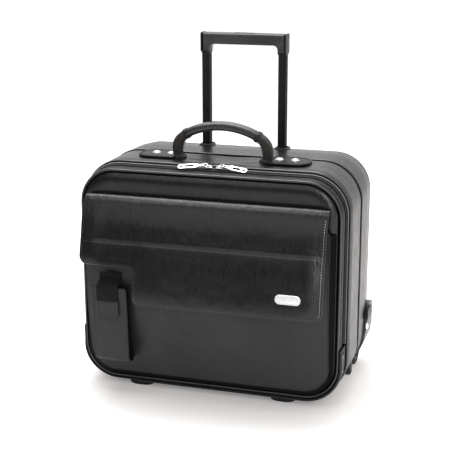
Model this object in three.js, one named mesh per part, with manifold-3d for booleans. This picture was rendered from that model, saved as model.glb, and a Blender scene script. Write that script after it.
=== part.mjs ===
// Rolling laptop case, in millimetres: +X right, +Z up, the front faces -Y, and the floor is Z = 0.
// The case is laid out from the plane of its front panel's edge (y = 0) and shifted at the end,
// so that the origin is the bottom centre of the whole object.
import * as THREE from "three";
import { mergeVertices } from "three/addons/utils/BufferGeometryUtils.js";
import Module from "manifold-3d";

const wasm = await Module();
wasm.setup();

// ---------------------------------------------------------------- driving dimensions
const GAP = 0.3; // between pieces that touch
const RUNNING = 0.06; // radial clearance of a bearing on its axle
const SLIDING = 0.4; // each side, between telescoping tubes
const CORNER_STEPS = 6;

// the rounded outline of the front panel; every band of the case is this outline, offset
const PANEL_WIDTH = 418;
const PANEL_HEIGHT = 342.6;
const PANEL_BOTTOM = 21.4; // above the floor
const PANEL_TOP_RADIUS = 52;
const PANEL_BOTTOM_RADIUS = 50;
const PANEL_FRONT = 6; // how far the panel stands out in front of y = 0
const PANEL_BACK = 5;
const BOARD = 3.5; // thickness of the stiff boards behind the leather
const BOARD_EDGE = 14; // width of a board's thick edge

// the pocket, flap, handle pads and feet are laid out on a panel this big, and follow the real one
const LAYOUT_WIDTH = 418;
const LAYOUT_HEIGHT = 342.6;
const across = (x) => (x * PANEL_WIDTH) / LAYOUT_WIDTH;
const upright = (z) => PANEL_BOTTOM + ((z - PANEL_BOTTOM) * PANEL_HEIGHT) / LAYOUT_HEIGHT;

// stations along the depth
const RIM_BACK = 20;
const ZIP_Y = 27.7; // where the two rows of teeth meet
const ZIP_WIDTH = 7.4; // one tape, up to its teeth
const BAND_CREST = 13.5; // how far the main band stands out from the panel's outline
const SEAM_Y = 123; // between the main band and the rear band
const REAR_Y = 222; // end of the rear band
const BACK_PANEL = 8;
const BAND_INNER = 9; // offset of the main band's inside
const REAR_INNER = 8;
const REAR_CREST = 12.8;
const REAR_LIFT = 16; // the rear band's bottom rises by this, so the case clears the floor when tipped

const RIM_OUTER = 6.5;
const GUARD_TOP = upright(101); // the guard covers the bottom and the sides up to here
const GUARD_INNER = 8.2;
const GUARD_CREST = Math.max(11, GUARD_INNER + 2.5);

const HALF = PANEL_WIDTH / 2;
const PANEL_TOP = PANEL_BOTTOM + PANEL_HEIGHT;
const TOP_Z = PANEL_TOP + BAND_CREST;
const BOTTOM_Z = PANEL_BOTTOM - BAND_CREST;
const BACK_Y = REAR_Y + GAP + BACK_PANEL;
const BAND_FRONT = ZIP_Y + ZIP_WIDTH + 2 * GAP;

// inside
const DIVIDER_TOP = upright(300);
const SLEEVE_WIDTH = across(352);
const SLEEVE_DEPTH = 56;
const SLEEVE_TOP = upright(290);
const SLEEVE_WALL = 3;

// front organiser pocket and its flap
const POCKET_INSET = 9; // from the panel's outline
const POCKET_TOP = upright(296);
const POCKET_WALL = 2.2;
const FLAP_WIDTH = PANEL_WIDTH - 19;
const FLAP_BOTTOM = upright(166);
const FLAP_SHORT_BOTTOM = upright(225); // over the phone pocket
const FLAP_STEP_X = across(-106);
const FLAP_THICK = 3;
const FLAP_CORNER = 14;
const BADGE_WIDTH = 40;
const BADGE_HEIGHT = 15;
const BADGE_THICK = 1.6;
const BADGE_X = across(147);
const BADGE_Z = upright(199);

// phone pocket
const PHONE_X = across(-150);
const PHONE_WIDTH = 60;
const PHONE_BOTTOM = upright(56);
const PHONE_TOP = upright(187);
const PHONE_FRONT = 53;
const PHONE_WALL = 2.4;
const STRAP_WIDTH = 36;
const STRAP_THICK = 2;
const TAB_TOP = PHONE_TOP - 19;
const TAB_LENGTH = 33;
const TAB_THICK = 3;

// carry handle
const HANDLE_Y = SEAM_Y - 43;
const GRIP_HALF = 62; // half the grip's span
const GRIP_RISE = 16; // of its arch
const GRIP_END_Z = TOP_Z + 39.5;
const GRIP_THICK = 15;
const GRIP_DEPTH = 22;
const LOOP_BEND = 27.6;
const LOOP_WIDTH = 17;
const LOOP_DEPTH = 22;
const LOOP_FOOT_DEPTH = 11; // narrow enough to turn above the pads
const HANDLE_PIVOT_Z = TOP_Z + 9;
const HANDLE_PIVOT_CLEAR = 4; // of the loops' ends below the pivot
const PAD_IN = GRIP_HALF + 16;
const PAD_OUT = across(145);
const PAD_Y = SEAM_Y - 33;
const PAD_DEPTH = 56;
const PAD_THICK = 3;
const RIVETS_X = [across(92), across(118)];
const RIVET_Y = SEAM_Y - 30;
const RIVET_SHANK = 2.2;
const RIVET_HEAD = 6.5;
const PLATE_THICK = 2;

// telescopic trolley
const POST_X = across(67);
const POST_Y = REAR_Y - 14;
const POST_WIDTH = 13;
const POST_DEPTH = 16;
const TUBE_WALL = 1.6;
const INNER_WALL = 1.2;
const TUBE_FLOOR = 34;
const INNER_LENGTH = PANEL_HEIGHT + 12.4;
const POST_GRIP_END = TOP_Z + 159.5; // where the posts enter the grip
const POST_IN_GRIP = 8;
const GRIP_TOP_Z = POST_GRIP_END + 33;
const GRIP_UNDER_Z = POST_GRIP_END + 12.5;
const TROLLEY_GRIP_WIDTH = 2 * POST_X + 16;
const TROLLEY_GRIP_DEPTH = 26;
const BUTTON_WIDTH = 40;
const BUTTON_DEPTH = 12;
const BUTTON_PROUD = 1;
const BUTTON_TRAVEL = 4;
const ROD_RADIUS = 2;
const PIN_RADIUS = 2.6;
const PIN_HEIGHT = 12; // above the inner tube's lower end

// wheels
const WHEEL_RADIUS = 30;
const WHEEL_WIDTH = 20;
const WHEEL_X = HALF - 12;
const WHEEL_Y = REAR_Y - 17;
const AXLE_RADIUS = 4;
const HUB_RADIUS = 21.5;
const BEARING_RADIUS = 10;
const WELL_CLEAR = 3;
const HOUSING_WALL = 4;
const HOUSING_OFFSET = 17;
const HOUSING_TOP = 2 * WHEEL_RADIUS + 53;
const HOUSING_BACK = 11; // behind the back panel

const FOOT_X = across(122);
const FOOT_WIDTH = 48;
const FOOT_FLAT = 16;
const SKID_X = HALF - 10;
const SKID_Y = WHEEL_Y - WHEEL_RADIUS - WELL_CLEAR - HOUSING_WALL - 11;
const SKID_SIZE = 15;

// ---------------------------------------------------------------- values that follow
const MIDDLE_WIDTH = POST_WIDTH + 2 * (SLIDING + TUBE_WALL);
const MIDDLE_DEPTH = POST_DEPTH + 2 * (SLIDING + TUBE_WALL);
const OUTER_WIDTH = MIDDLE_WIDTH + 2 * (SLIDING + TUBE_WALL);
const OUTER_DEPTH = MIDDLE_DEPTH + 2 * (SLIDING + TUBE_WALL);
const WELL_RADIUS = WHEEL_RADIUS + WELL_CLEAR;
const WELL_HALF = WHEEL_WIDTH / 2 + 1.5;

// ---------------------------------------------------------------- materials
const material = (color, roughness, metalness = 0) =>
  new THREE.MeshStandardMaterial({ color, roughness, metalness });
const LEATHER = material(0x232325, 0.42);
const SMOOTH_LEATHER = material(0x303032, 0.38);
const PIPING = material(0x3a3a3c, 0.35);
const WEBBING = material(0x35322f, 0.85);
const LINING = material(0x2b2b2e, 0.9);
const RUBBER = material(0x141414, 0.8);
const PLASTIC = material(0x1c1c1d, 0.45);
const TUBE = material(0x1a1b1c, 0.35, 0.6);
const STEEL = material(0xb9bbbd, 0.3, 0.9);
const CHROME = material(0xd8d9da, 0.15, 1);

// ---------------------------------------------------------------- solids
function solidOf(positions, triangles) {
  const build = (triVerts) => new wasm.Manifold(
    new wasm.Mesh({ numProp: 3, vertProperties: new Float32Array(positions), triVerts }),
  );
  const made = build(new Uint32Array(triangles));
  return made.volume() > 0 ? made : build(new Uint32Array(triangles).reverse());
}

function fromGeometry(geometry) {
  geometry.deleteAttribute("normal");
  geometry.deleteAttribute("uv");
  const merged = mergeVertices(geometry, 1e-4);
  return solidOf(merged.attributes.position.array, merged.index.array);
}

// Joins rings of equal point counts; a closed loft returns to its first ring and has no caps.
function loft(rings, closed = false) {
  const count = rings[0].length;
  const triangles = [];
  const spans = closed ? rings.length : rings.length - 1;
  for (let i = 0; i < spans; i++) {
    const here = i * count;
    const there = ((i + 1) % rings.length) * count;
    for (let j = 0; j < count; j++) {
      const k = (j + 1) % count;
      triangles.push(here + j, there + j, here + k, there + j, there + k, here + k);
    }
  }
  if (!closed) {
    const end = (rings.length - 1) * count;
    for (let j = 1; j < count - 1; j++) {
      triangles.push(0, j, j + 1, end, end + j + 1, end + j);
    }
  }
  return solidOf(rings.flat(2), triangles);
}

// The case's rounded outline in X and Z, standing out from the front panel's edge by offset.
function outline(offset, lift = 0) {
  const half = HALF + offset;
  const bottom = PANEL_BOTTOM - offset + lift;
  const top = PANEL_TOP + offset;
  const low = PANEL_BOTTOM_RADIUS + offset;
  const high = PANEL_TOP_RADIUS + offset;
  const corners = [
    [half - low, bottom + low, low, -90],
    [half - high, top - high, high, 0],
    [high - half, top - high, high, 90],
    [low - half, bottom + low, low, 180],
  ];
  return corners.flatMap(([x, z, radius, start]) =>
    Array.from({ length: CORNER_STEPS + 1 }, (_, i) => {
      const angle = THREE.MathUtils.degToRad(start + (90 * i) / CORNER_STEPS);
      return [x + radius * Math.cos(angle), z + radius * Math.sin(angle)];
    }),
  );
}

const ringAt = (y, offset, lift) => outline(offset, lift).map(([x, z]) => [x, y, z]);

// A solid slab through stations of [y, offset, lift].
const slab = (stations) => loft(stations.map((s) => ringAt(...s)));

// A band round the case: its outside follows the stations, and its inside keeps one offset.
function band(stations, inner) {
  const outside = stations.map((s) => ringAt(...s));
  const inside = stations.map(([y, , lift]) => ringAt(y, inner, lift)).reverse();
  return loft([...outside, ...inside], true);
}

function box(x0, x1, y0, y1, z0, z1) {
  const geometry = new THREE.BoxGeometry(x1 - x0, y1 - y0, z1 - z0);
  geometry.translate((x0 + x1) / 2, (y0 + y1) / 2, (z0 + z1) / 2);
  return fromGeometry(geometry);
}

// A shape with each corner [a, b, radius] rounded.
function rounded(corners) {
  const shape = new THREE.Shape();
  corners.forEach(([a, b, radius = 0], i) => {
    const before = corners[(i + corners.length - 1) % corners.length];
    const after = corners[(i + 1) % corners.length];
    const toward = ([p, q]) => {
      const length = Math.hypot(p - a, q - b);
      return [a + ((p - a) * radius) / length, b + ((q - b) * radius) / length];
    };
    const start = toward(before);
    if (i === 0) shape.moveTo(...start);
    else shape.lineTo(...start);
    if (radius > 0) shape.quadraticCurveTo(a, b, ...toward(after));
  });
  shape.closePath();
  return shape;
}

function roundedRect(width, height, radius) {
  const w = width / 2;
  const h = height / 2;
  return rounded([[-w, -h, radius], [w, -h, radius], [w, h, radius], [-w, h, radius]]);
}

function extrude(shape, depth, basis, shift, steps = 4) {
  const geometry = new THREE.ExtrudeGeometry(shape, {
    depth, bevelEnabled: false, curveSegments: steps,
  });
  geometry.applyMatrix4(new THREE.Matrix4().makeBasis(...basis));
  geometry.translate(...shift);
  return fromGeometry(geometry);
}

const X = new THREE.Vector3(1, 0, 0);
const Y = new THREE.Vector3(0, 1, 0);
const Z = new THREE.Vector3(0, 0, 1);
// shapes drawn in (y, z), (x, z) and (x, y), and run along the third axis
const alongX = (shape, x0, x1, steps) => extrude(shape, x1 - x0, [Y, Z, X], [x0, 0, 0], steps);
const alongY = (shape, y0, y1, steps) =>
  extrude(shape, y1 - y0, [X, Z, Y.clone().negate()], [0, y1, 0], steps);
const alongZ = (shape, z0, z1, steps) => extrude(shape, z1 - z0, [X, Y, Z], [0, 0, z0], steps);

function disc(radius, length, axis, centre, sides = 24) {
  const geometry = new THREE.CylinderGeometry(radius, radius, length, sides);
  if (axis === "x") geometry.rotateZ(Math.PI / 2);
  if (axis === "z") geometry.rotateX(Math.PI / 2);
  geometry.translate(...centre);
  return fromGeometry(geometry);
}

function meshOf(name, solid, look) {
  const { vertProperties, triVerts } = solid.getMesh();
  const geometry = new THREE.BufferGeometry();
  geometry.setAttribute("position", new THREE.BufferAttribute(new Float32Array(vertProperties), 3));
  geometry.setIndex(new THREE.BufferAttribute(new Uint32Array(triVerts), 1));
  geometry.computeVertexNormals();
  const mesh = new THREE.Mesh(geometry, look);
  mesh.name = name;
  return mesh;
}

const SIDES = [["left", -1], ["right", 1]];
// The same solid for the left, mirrored there from the right-hand one.
const onSide = (solid, side) => (side > 0 ? solid : solid.mirror([1, 0, 0]));

const model = new THREE.Group();
const add = (name, solid, look) => model.add(meshOf(name, solid, look));

// ---------------------------------------------------------------- shell of the case
const wellCut = (side) => onSide(
  box(
    WHEEL_X - WELL_HALF - HOUSING_WALL - GAP, HALF + 40,
    WHEEL_Y - WELL_RADIUS - HOUSING_WALL - GAP, BACK_Y + 40,
    -10, WHEEL_RADIUS + WELL_RADIUS + HOUSING_WALL + GAP,
  ),
  side,
);
const withoutWells = (solid) => solid.subtract(wellCut(1)).subtract(wellCut(-1));

const tubeHole = (side, clearance) => alongZ(
  roundedRect(OUTER_WIDTH + 2 * clearance, OUTER_DEPTH + 2 * clearance, 3), TOP_Z - 30, TOP_Z + 30,
).translate([side * POST_X, POST_Y, 0]);

const rivetHoles = () => SIDES.flatMap(([, side]) =>
  RIVETS_X.map((x) => disc(RIVET_SHANK + GAP, 60, "z", [side * x, RIVET_Y, TOP_Z], 12)),
);
const withRivetHoles = (solid) => rivetHoles().reduce((s, hole) => s.subtract(hole), solid);

const REAR_STATIONS = [
  [SEAM_Y + GAP, REAR_CREST - 1.6, 0],
  [SEAM_Y + 5, REAR_CREST, 0],
  [WHEEL_Y - WELL_RADIUS, REAR_CREST, 0],
  [POST_Y - 8, REAR_CREST - 1, REAR_LIFT / 2],
  [REAR_Y, REAR_CREST - 4.5, REAR_LIFT],
];

function makeShell() {
  const front = band([
    [BAND_FRONT, BAND_CREST - 2.5],
    [BAND_FRONT + 5, BAND_CREST],
    [SEAM_Y - 5, BAND_CREST - 0.4],
    [SEAM_Y, BAND_CREST - 2],
  ], BAND_INNER);
  add("main_band", withRivetHoles(front), LEATHER);

  let rear = withoutWells(band(REAR_STATIONS, REAR_INNER));
  SIDES.forEach(([, side]) => {
    rear = rear.subtract(tubeHole(side, 1));
  });
  add("rear_band", rear, LEATHER);

  const back = slab([
    [REAR_Y + GAP, REAR_CREST - 4.5, REAR_LIFT],
    [BACK_Y - 3, REAR_CREST - 5, REAR_LIFT],
    [BACK_Y, REAR_CREST - 10, REAR_LIFT],
  ]);
  const recess = slab([
    [REAR_Y - 10, REAR_CREST - BOARD_EDGE, REAR_LIFT],
    [BACK_Y - BOARD, REAR_CREST - BOARD_EDGE, REAR_LIFT],
  ]);
  add("back_panel", withoutWells(back.subtract(recess)), LEATHER);
}

function makeBottomGuard() {
  const ring = band([
    [-3, RIM_OUTER + 2.8],
    [0, GUARD_CREST],
    [BAND_FRONT - GAP, GUARD_CREST],
  ], GUARD_INNER);
  add("bottom_guard", ring.intersect(box(-HALF - 40, HALF + 40, -10, 60, -10, GUARD_TOP)), PLASTIC);
}

function makeLinings() {
  const divider = slab([[SEAM_Y - 3, BAND_INNER - GAP], [SEAM_Y - 1, BAND_INNER - GAP]]);
  add("file_divider", divider.intersect(box(-HALF - 20, HALF + 20, 0, 200, 0, DIVIDER_TOP)), LINING);

  const lining = slab([
    [POST_Y - OUTER_DEPTH / 2 - 4, REAR_INNER - GAP, REAR_LIFT / 2],
    [POST_Y - OUTER_DEPTH / 2 - 2.5, REAR_INNER - GAP, REAR_LIFT / 2],
  ]);
  add("back_lining", withoutWells(lining), LINING);

  const floor = PANEL_BOTTOM - BAND_INNER + GAP;
  const half = SLEEVE_WIDTH / 2;
  const back = SEAM_Y - 3 - 2 * GAP;
  const front = back - SLEEVE_DEPTH;
  const inside = slab([[0, BAND_INNER - GAP], [SEAM_Y, BAND_INNER - GAP]]);
  const sleeve = box(-half, half, front, back, floor, SLEEVE_TOP).intersect(inside);
  const room = box(
    -half + SLEEVE_WALL, half - SLEEVE_WALL, front + SLEEVE_WALL, back - SLEEVE_WALL,
    floor + SLEEVE_WALL, SLEEVE_TOP + 20,
  );
  add("laptop_sleeve", sleeve.subtract(room), LINING);
}

// ---------------------------------------------------------------- zip
function makeZip() {
  const aboveGuard = box(-HALF - 40, HALF + 40, 0, 60, GUARD_TOP + 3, TOP_Z + 20);
  const lidTape = band([
    [RIM_BACK + GAP, RIM_OUTER + 1.5],
    [ZIP_Y - GAP, BAND_CREST - 3.5],
  ], RIM_OUTER - 1.5);
  const caseTape = band([
    [ZIP_Y + GAP, BAND_CREST - 3.5],
    [ZIP_Y + ZIP_WIDTH + GAP, BAND_CREST - 3],
  ], RIM_OUTER);
  add("zip_tape_lid", lidTape.intersect(aboveGuard), LINING);
  add("zip_tape_case", caseTape.intersect(aboveGuard), LINING);
}

const SLIDER_X = { left: -6, right: 11 };
const SLIDER_BASE = PANEL_TOP + BAND_CREST - 3 + GAP;
const SLIDER_LENGTH = 11;
const SLIDER_WIDTH = 9;
const SLIDER_HEIGHT = 4;
const PULL_LENGTH = 43;
const PULL_WIDTH = 9;
const PULL_THICK = 1.8;
// degrees that each pull leans onto the lid's edge, dips at its outer end and turns forwards
const PULL_LEAN = 35;
const PULL_DIP = 5;
const PULL_TURN = 11;

function makeSliders() {
  SIDES.forEach(([name, side]) => {
    const x = SLIDER_X[name];
    const body = alongZ(
      roundedRect(SLIDER_LENGTH, SLIDER_WIDTH, 2.5), SLIDER_BASE, SLIDER_BASE + SLIDER_HEIGHT,
    ).translate([x, ZIP_Y, 0]);
    add("zip_slider_" + name, body, CHROME);

    const plate = roundedRect(PULL_LENGTH, PULL_WIDTH, 3.5);
    const slot = alongZ(roundedRect(12, 3.2, 1.5), -5, 5)
      .translate([side * (PULL_LENGTH / 2 - 10), 0, 0]);
    const pull = alongZ(plate, -PULL_THICK / 2, PULL_THICK / 2).subtract(slot)
      .translate([(side * PULL_LENGTH) / 2, 0, 0])
      .rotate([PULL_LEAN, side * PULL_DIP, -side * PULL_TURN])
      .translate([
        x + side * (SLIDER_LENGTH / 2 + 1.2), ZIP_Y - 3, SLIDER_BASE + SLIDER_HEIGHT + 0.6,
      ]);
    add("zip_pull_" + name, pull, CHROME);
  });
}

// ---------------------------------------------------------------- opening front lid
function makeLid() {
  const panel = slab([
    [-PANEL_FRONT, -7],
    [-PANEL_FRONT + 2, -1.5],
    [-PANEL_FRONT + 4, 0],
    [PANEL_BACK, 1],
  ]);
  const recess = slab([[BOARD - PANEL_FRONT, -BOARD_EDGE], [PANEL_BACK + 5, -BOARD_EDGE]]);
  add("front_panel", panel.subtract(recess), LEATHER);
  add("lid_rim", band([
    [2, RIM_OUTER - 1],
    [6, RIM_OUTER],
    [RIM_BACK, RIM_OUTER],
  ], 1 + GAP), LEATHER);
  add("front_piping", band([
    [-2, RIM_OUTER - 2.4],
    [-0.8, RIM_OUTER - 0.8],
    [0.6, RIM_OUTER - 0.6],
    [2 - GAP, RIM_OUTER - 1.4],
  ], 2), PIPING);
}

// how far the organiser pocket stands out, at its sides and in its middle: [z, side, swell]
const POCKET_SECTIONS = [
  [upright(28), 7.2, 1],
  [upright(45), 7.6, 8],
  [upright(70), 9.5, 17],
  [upright(100), 14, 23],
  [upright(140), 20, 27],
  [upright(175), 23.5, 27],
  [upright(230), 24, 21],
  [upright(270), 22, 12],
  [POCKET_TOP, 20, 6],
];
const POCKET_POINTS = 12;

function pocketSolid(grow, bottom, top) {
  const half = HALF - POCKET_INSET + grow;
  const back = -(PANEL_FRONT + GAP - Math.min(grow, 0));
  const rings = POCKET_SECTIONS.map(([z, side, swell], i) => {
    const height = i === 0 ? bottom : i === POCKET_SECTIONS.length - 1 ? top : z;
    const front = Array.from({ length: POCKET_POINTS + 1 }, (_, j) => {
      const t = -1 + (2 * j) / POCKET_POINTS;
      return [half * t, -Math.max(side + grow + swell * (1 - t * t), -back + 0.6), height];
    });
    return [[half, back, height], [-half, back, height], ...front];
  });
  return loft(rings);
}

function pocketOuter(grow = 0) {
  const shape = slab([[-90, grow - POCKET_INSET], [0, grow - POCKET_INSET]]);
  return pocketSolid(grow, POCKET_SECTIONS[0][0] - grow, POCKET_TOP + grow).intersect(shape);
}

function makeFrontPocket() {
  const inset = POCKET_INSET + POCKET_WALL;
  const room = pocketSolid(-POCKET_WALL, POCKET_SECTIONS[0][0] + POCKET_WALL, POCKET_TOP + 10)
    .intersect(slab([[-90, -inset], [0, -inset]]));
  add("front_pocket", pocketOuter().subtract(room), SMOOTH_LEATHER);
}

function makePhonePocket() {
  const x0 = PHONE_X - PHONE_WIDTH / 2;
  const x1 = PHONE_X + PHONE_WIDTH / 2;
  const face = rounded([
    [x0, PHONE_BOTTOM, 6], [x1, PHONE_BOTTOM, 4], [x1, PHONE_TOP, 2], [x0, PHONE_TOP, 2],
  ]);
  const behind = -PANEL_FRONT - 2 * POCKET_WALL;
  const side = (inset, top) => rounded([
    [behind, PHONE_BOTTOM + inset], [-PHONE_FRONT + 6 + inset, PHONE_BOTTOM + inset, 4],
    [-PHONE_FRONT + inset, top], [behind, top],
  ]);
  const outer = alongY(face, -PHONE_FRONT - 10, behind).intersect(alongX(side(0, PHONE_TOP), x0, x1));
  const room = alongX(side(PHONE_WALL, PHONE_TOP + 20), x0 + PHONE_WALL, x1 - PHONE_WALL);
  add("phone_pocket", outer.subtract(room).subtract(pocketOuter(GAP)), SMOOTH_LEATHER);
}

// A strip of even thickness whose face follows [y, z] points.
function strip(points, thick, divisions = points.length * 2) {
  const face = new THREE.SplineCurve(points.map(([y, z]) => new THREE.Vector2(y, z)))
    .getPoints(divisions);
  const inside = face.map((p, i) => {
    const before = face[Math.max(i - 1, 0)];
    const after = face[Math.min(i + 1, face.length - 1)];
    const normal = new THREE.Vector2(after.y - before.y, before.x - after.x).normalize();
    return p.clone().addScaledVector(normal, -thick);
  });
  return new THREE.Shape([...face, ...inside.reverse()]);
}

function makePhoneStrap() {
  const x0 = PHONE_X - 2 - STRAP_WIDTH / 2;
  const x1 = x0 + STRAP_WIDTH;
  const front = PHONE_FRONT + GAP + STRAP_THICK;
  const shape = strip([
    [-PHONE_FRONT + 12.5, PHONE_TOP + 22],
    [-PHONE_FRONT + 11.5, PHONE_TOP + 12],
    [-PHONE_FRONT + 5, PHONE_TOP + 8],
    [-front - 1, PHONE_TOP + 2],
    [-front - 1, TAB_TOP + GAP],
  ], STRAP_THICK);
  add("phone_strap", alongX(shape, x0, x1), WEBBING);

  const tab = rounded([
    [x0 - 1, TAB_TOP - TAB_LENGTH, 8], [x1 + 1, TAB_TOP - TAB_LENGTH, 8],
    [x1 + 1, TAB_TOP, 2], [x0 - 1, TAB_TOP, 2],
  ]);
  const inner = -PHONE_FRONT - GAP;
  add("phone_tab", alongY(tab, inner - TAB_THICK, inner), SMOOTH_LEATHER);
}

// the flap's outer face, from its fold down: [y, z]
const FLAP_FACE = [
  [-9, 330], [-15, 331.5], [-25, 324], [-34, 308], [-40, 292], [-46, 269],
  [-53, 246], [-57, 230], [-62, 203], [-65.5, 182], [-66.5, 166],
].map(([y, z]) => [y, upright(z)]);

function makeFlap() {
  const half = FLAP_WIDTH / 2;
  const sheet = alongX(strip(FLAP_FACE, FLAP_THICK), -half, half);
  const shape = rounded([
    [half, FLAP_BOTTOM, FLAP_CORNER], [half, PANEL_TOP, 0], [-half, PANEL_TOP, 0],
    [-half, FLAP_SHORT_BOTTOM, FLAP_CORNER], [FLAP_STEP_X, FLAP_SHORT_BOTTOM, 8],
    [FLAP_STEP_X, FLAP_BOTTOM, FLAP_CORNER],
  ]);
  add("flap", sheet.intersect(alongY(shape, -90, 0)), LEATHER);

  const [[y0, z0], [y1, z1]] = [FLAP_FACE[8], FLAP_FACE[9]];
  const tilt = Math.atan2(y0 - y1, z0 - z1);
  const y = y0 + ((y1 - y0) * (BADGE_Z - z0)) / (z1 - z0);
  const plate = alongY(
    roundedRect(BADGE_WIDTH, BADGE_HEIGHT, BADGE_HEIGHT / 2 - 0.5), -BADGE_THICK - 2 * GAP, -2 * GAP,
  );
  add("badge", plate.rotate([THREE.MathUtils.radToDeg(-tilt), 0, 0])
    .translate([BADGE_X, y, BADGE_Z]), STEEL);
}

// ---------------------------------------------------------------- carry handle
// A ring of the handle's section where its middle line passes (x, z), heading down by slope.
function handleRing(side, x, z, slope, thick, depth) {
  return Array.from({ length: 12 }, (_, i) => {
    const angle = (2 * Math.PI * (i + 0.5)) / 12;
    const out = (thick / 2) * Math.sign(Math.sin(angle)) * Math.abs(Math.sin(angle)) ** 0.6;
    const across = (depth / 2) * Math.sign(Math.cos(angle)) * Math.abs(Math.cos(angle)) ** 0.6;
    return [side * (x + out * Math.sin(slope)), HANDLE_Y + across, z + out * Math.cos(slope)];
  });
}

const ARCH_RADIUS = (GRIP_HALF ** 2 + GRIP_RISE ** 2) / (2 * GRIP_RISE);
const ARCH_ANGLE = Math.asin(GRIP_HALF / ARCH_RADIUS);

function makeCarryHandle() {
  const steps = 12;
  const arch = Array.from({ length: steps + 1 }, (_, i) => {
    const slope = ARCH_ANGLE * (-1 + (2 * i) / steps);
    const x = ARCH_RADIUS * Math.sin(slope);
    const z = GRIP_END_Z + GRIP_RISE - ARCH_RADIUS * (1 - Math.cos(slope));
    return handleRing(1, x, z, slope, GRIP_THICK, GRIP_DEPTH);
  });
  add("handle_grip", loft(arch), LEATHER);

  const bendX = GRIP_HALF - LOOP_BEND * Math.sin(ARCH_ANGLE);
  const bendZ = GRIP_END_Z - LOOP_BEND * Math.cos(ARCH_ANGLE);
  const start = ARCH_ANGLE + (GAP + 0.2) / LOOP_BEND;
  SIDES.forEach(([name, side]) => {
    const bend = [0, 0.25, 0.5, 0.75, 1].map((t) => {
      const slope = start + (Math.PI / 2 - start) * t;
      const depth = LOOP_DEPTH + (LOOP_FOOT_DEPTH - LOOP_DEPTH) * t;
      const width = GRIP_THICK + (LOOP_WIDTH - GRIP_THICK) * t;
      return handleRing(
        side, bendX + LOOP_BEND * Math.sin(slope), bendZ + LOOP_BEND * Math.cos(slope),
        slope, width, depth,
      );
    });
    const foot = handleRing(
      side, bendX + LOOP_BEND, HANDLE_PIVOT_Z - HANDLE_PIVOT_CLEAR, Math.PI / 2, LOOP_WIDTH, 8,
    );
    add("handle_loop_" + name, loft([...bend, foot]), WEBBING);
  });
}

function makeHandlePads() {
  const padTop = TOP_Z + GAP + PAD_THICK;
  const plateTop = PANEL_TOP + BAND_INNER - GAP;
  const plate = box(
    -PAD_OUT + 8, PAD_OUT - 8, RIVET_Y - 13, RIVET_Y + 13, plateTop - PLATE_THICK, plateTop,
  );
  add("handle_plate", withRivetHoles(plate), STEEL);
  SIDES.forEach(([name, side]) => {
    const low = PAD_Y - PAD_DEPTH / 2;
    const high = PAD_Y + PAD_DEPTH / 2;
    const shape = rounded([
      [PAD_IN, low, 4], [PAD_OUT, low, 24], [PAD_OUT, high, 24], [PAD_IN, high, 4],
    ]);
    const pad = onSide(alongZ(shape, TOP_Z + GAP, padTop), side);
    add("handle_pad_" + name, withRivetHoles(pad), SMOOTH_LEATHER);
    RIVETS_X.forEach((x, i) => {
      const low = plateTop - PLATE_THICK - 2;
      const high = padTop + GAP;
      const shank = disc(RIVET_SHANK, high - low + 1, "z", [side * x, RIVET_Y, (high + low + 1) / 2], 12);
      const dome = new THREE.LatheGeometry(
        [[0, 0], [RIVET_HEAD, 0], [RIVET_HEAD * 0.92, 1.2], [RIVET_HEAD * 0.6, 2.4], [0, 3]]
          .map(([r, h]) => new THREE.Vector2(r, h)), 20,
      ).rotateX(Math.PI / 2).translate(side * x, RIVET_Y, high);
      add("handle_rivet_" + name + "_" + (i + 1), shank.add(fromGeometry(dome)), CHROME);
    });
  });
}

// ---------------------------------------------------------------- trolley
function tube(side, width, depth, wall, bottom, top) {
  const outer = alongZ(roundedRect(width, depth, 3), bottom, top);
  const bore = alongZ(roundedRect(width - 2 * wall, depth - 2 * wall, 2), bottom - 1, top + 1);
  return outer.subtract(bore).translate([side * POST_X, POST_Y, 0]);
}

const OUTER_TOP = PANEL_TOP + REAR_INNER - 2;
const BEZEL_TOP = PANEL_TOP + REAR_CREST + 2.5;
const INNER_BOTTOM = POST_GRIP_END + POST_IN_GRIP - INNER_LENGTH;

function makeTrolleyTubes() {
  SIDES.forEach(([name, side]) => {
    const outer = tube(side, OUTER_WIDTH, OUTER_DEPTH, TUBE_WALL, TUBE_FLOOR, OUTER_TOP);
    add("trolley_outer_tube_" + name, outer, TUBE);
    const middle = tube(
      side, MIDDLE_WIDTH, MIDDLE_DEPTH, TUBE_WALL, TUBE_FLOOR + 6, BEZEL_TOP - 0.5,
    );
    add("trolley_middle_tube_" + name, middle, TUBE);

    const neck = roundedRect(OUTER_WIDTH, OUTER_DEPTH, 3);
    const collar = alongZ(neck, OUTER_TOP + GAP, BEZEL_TOP - 1);
    const flange = alongZ(
      roundedRect(OUTER_WIDTH + 8, OUTER_DEPTH + 6, 5), PANEL_TOP + REAR_CREST + GAP, BEZEL_TOP,
    );
    const bore = alongZ(
      roundedRect(MIDDLE_WIDTH + 2 * SLIDING, MIDDLE_DEPTH + 2 * SLIDING, 3), OUTER_TOP - 5, BEZEL_TOP + 5,
    );
    add("trolley_bezel_" + name,
      collar.add(flange).subtract(bore).translate([side * POST_X, POST_Y, 0]), PLASTIC);

    const pinHole = disc(
      PIN_RADIUS + SLIDING, POST_WIDTH, "x",
      [side * (POST_X + POST_WIDTH / 2), POST_Y, INNER_BOTTOM + PIN_HEIGHT], 16,
    );
    const inner = tube(
      side, POST_WIDTH, POST_DEPTH, INNER_WALL, INNER_BOTTOM, POST_GRIP_END + POST_IN_GRIP,
    );
    add("trolley_inner_tube_" + name, inner.subtract(pinHole), TUBE);

    const pin = disc(
      PIN_RADIUS, POST_WIDTH / 2 + 1, "x",
      [side * (POST_X + POST_WIDTH / 4 - 0.7), POST_Y, INNER_BOTTOM + PIN_HEIGHT], 16,
    );
    add("lock_pin_" + name, pin, STEEL);
  });
}

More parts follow.
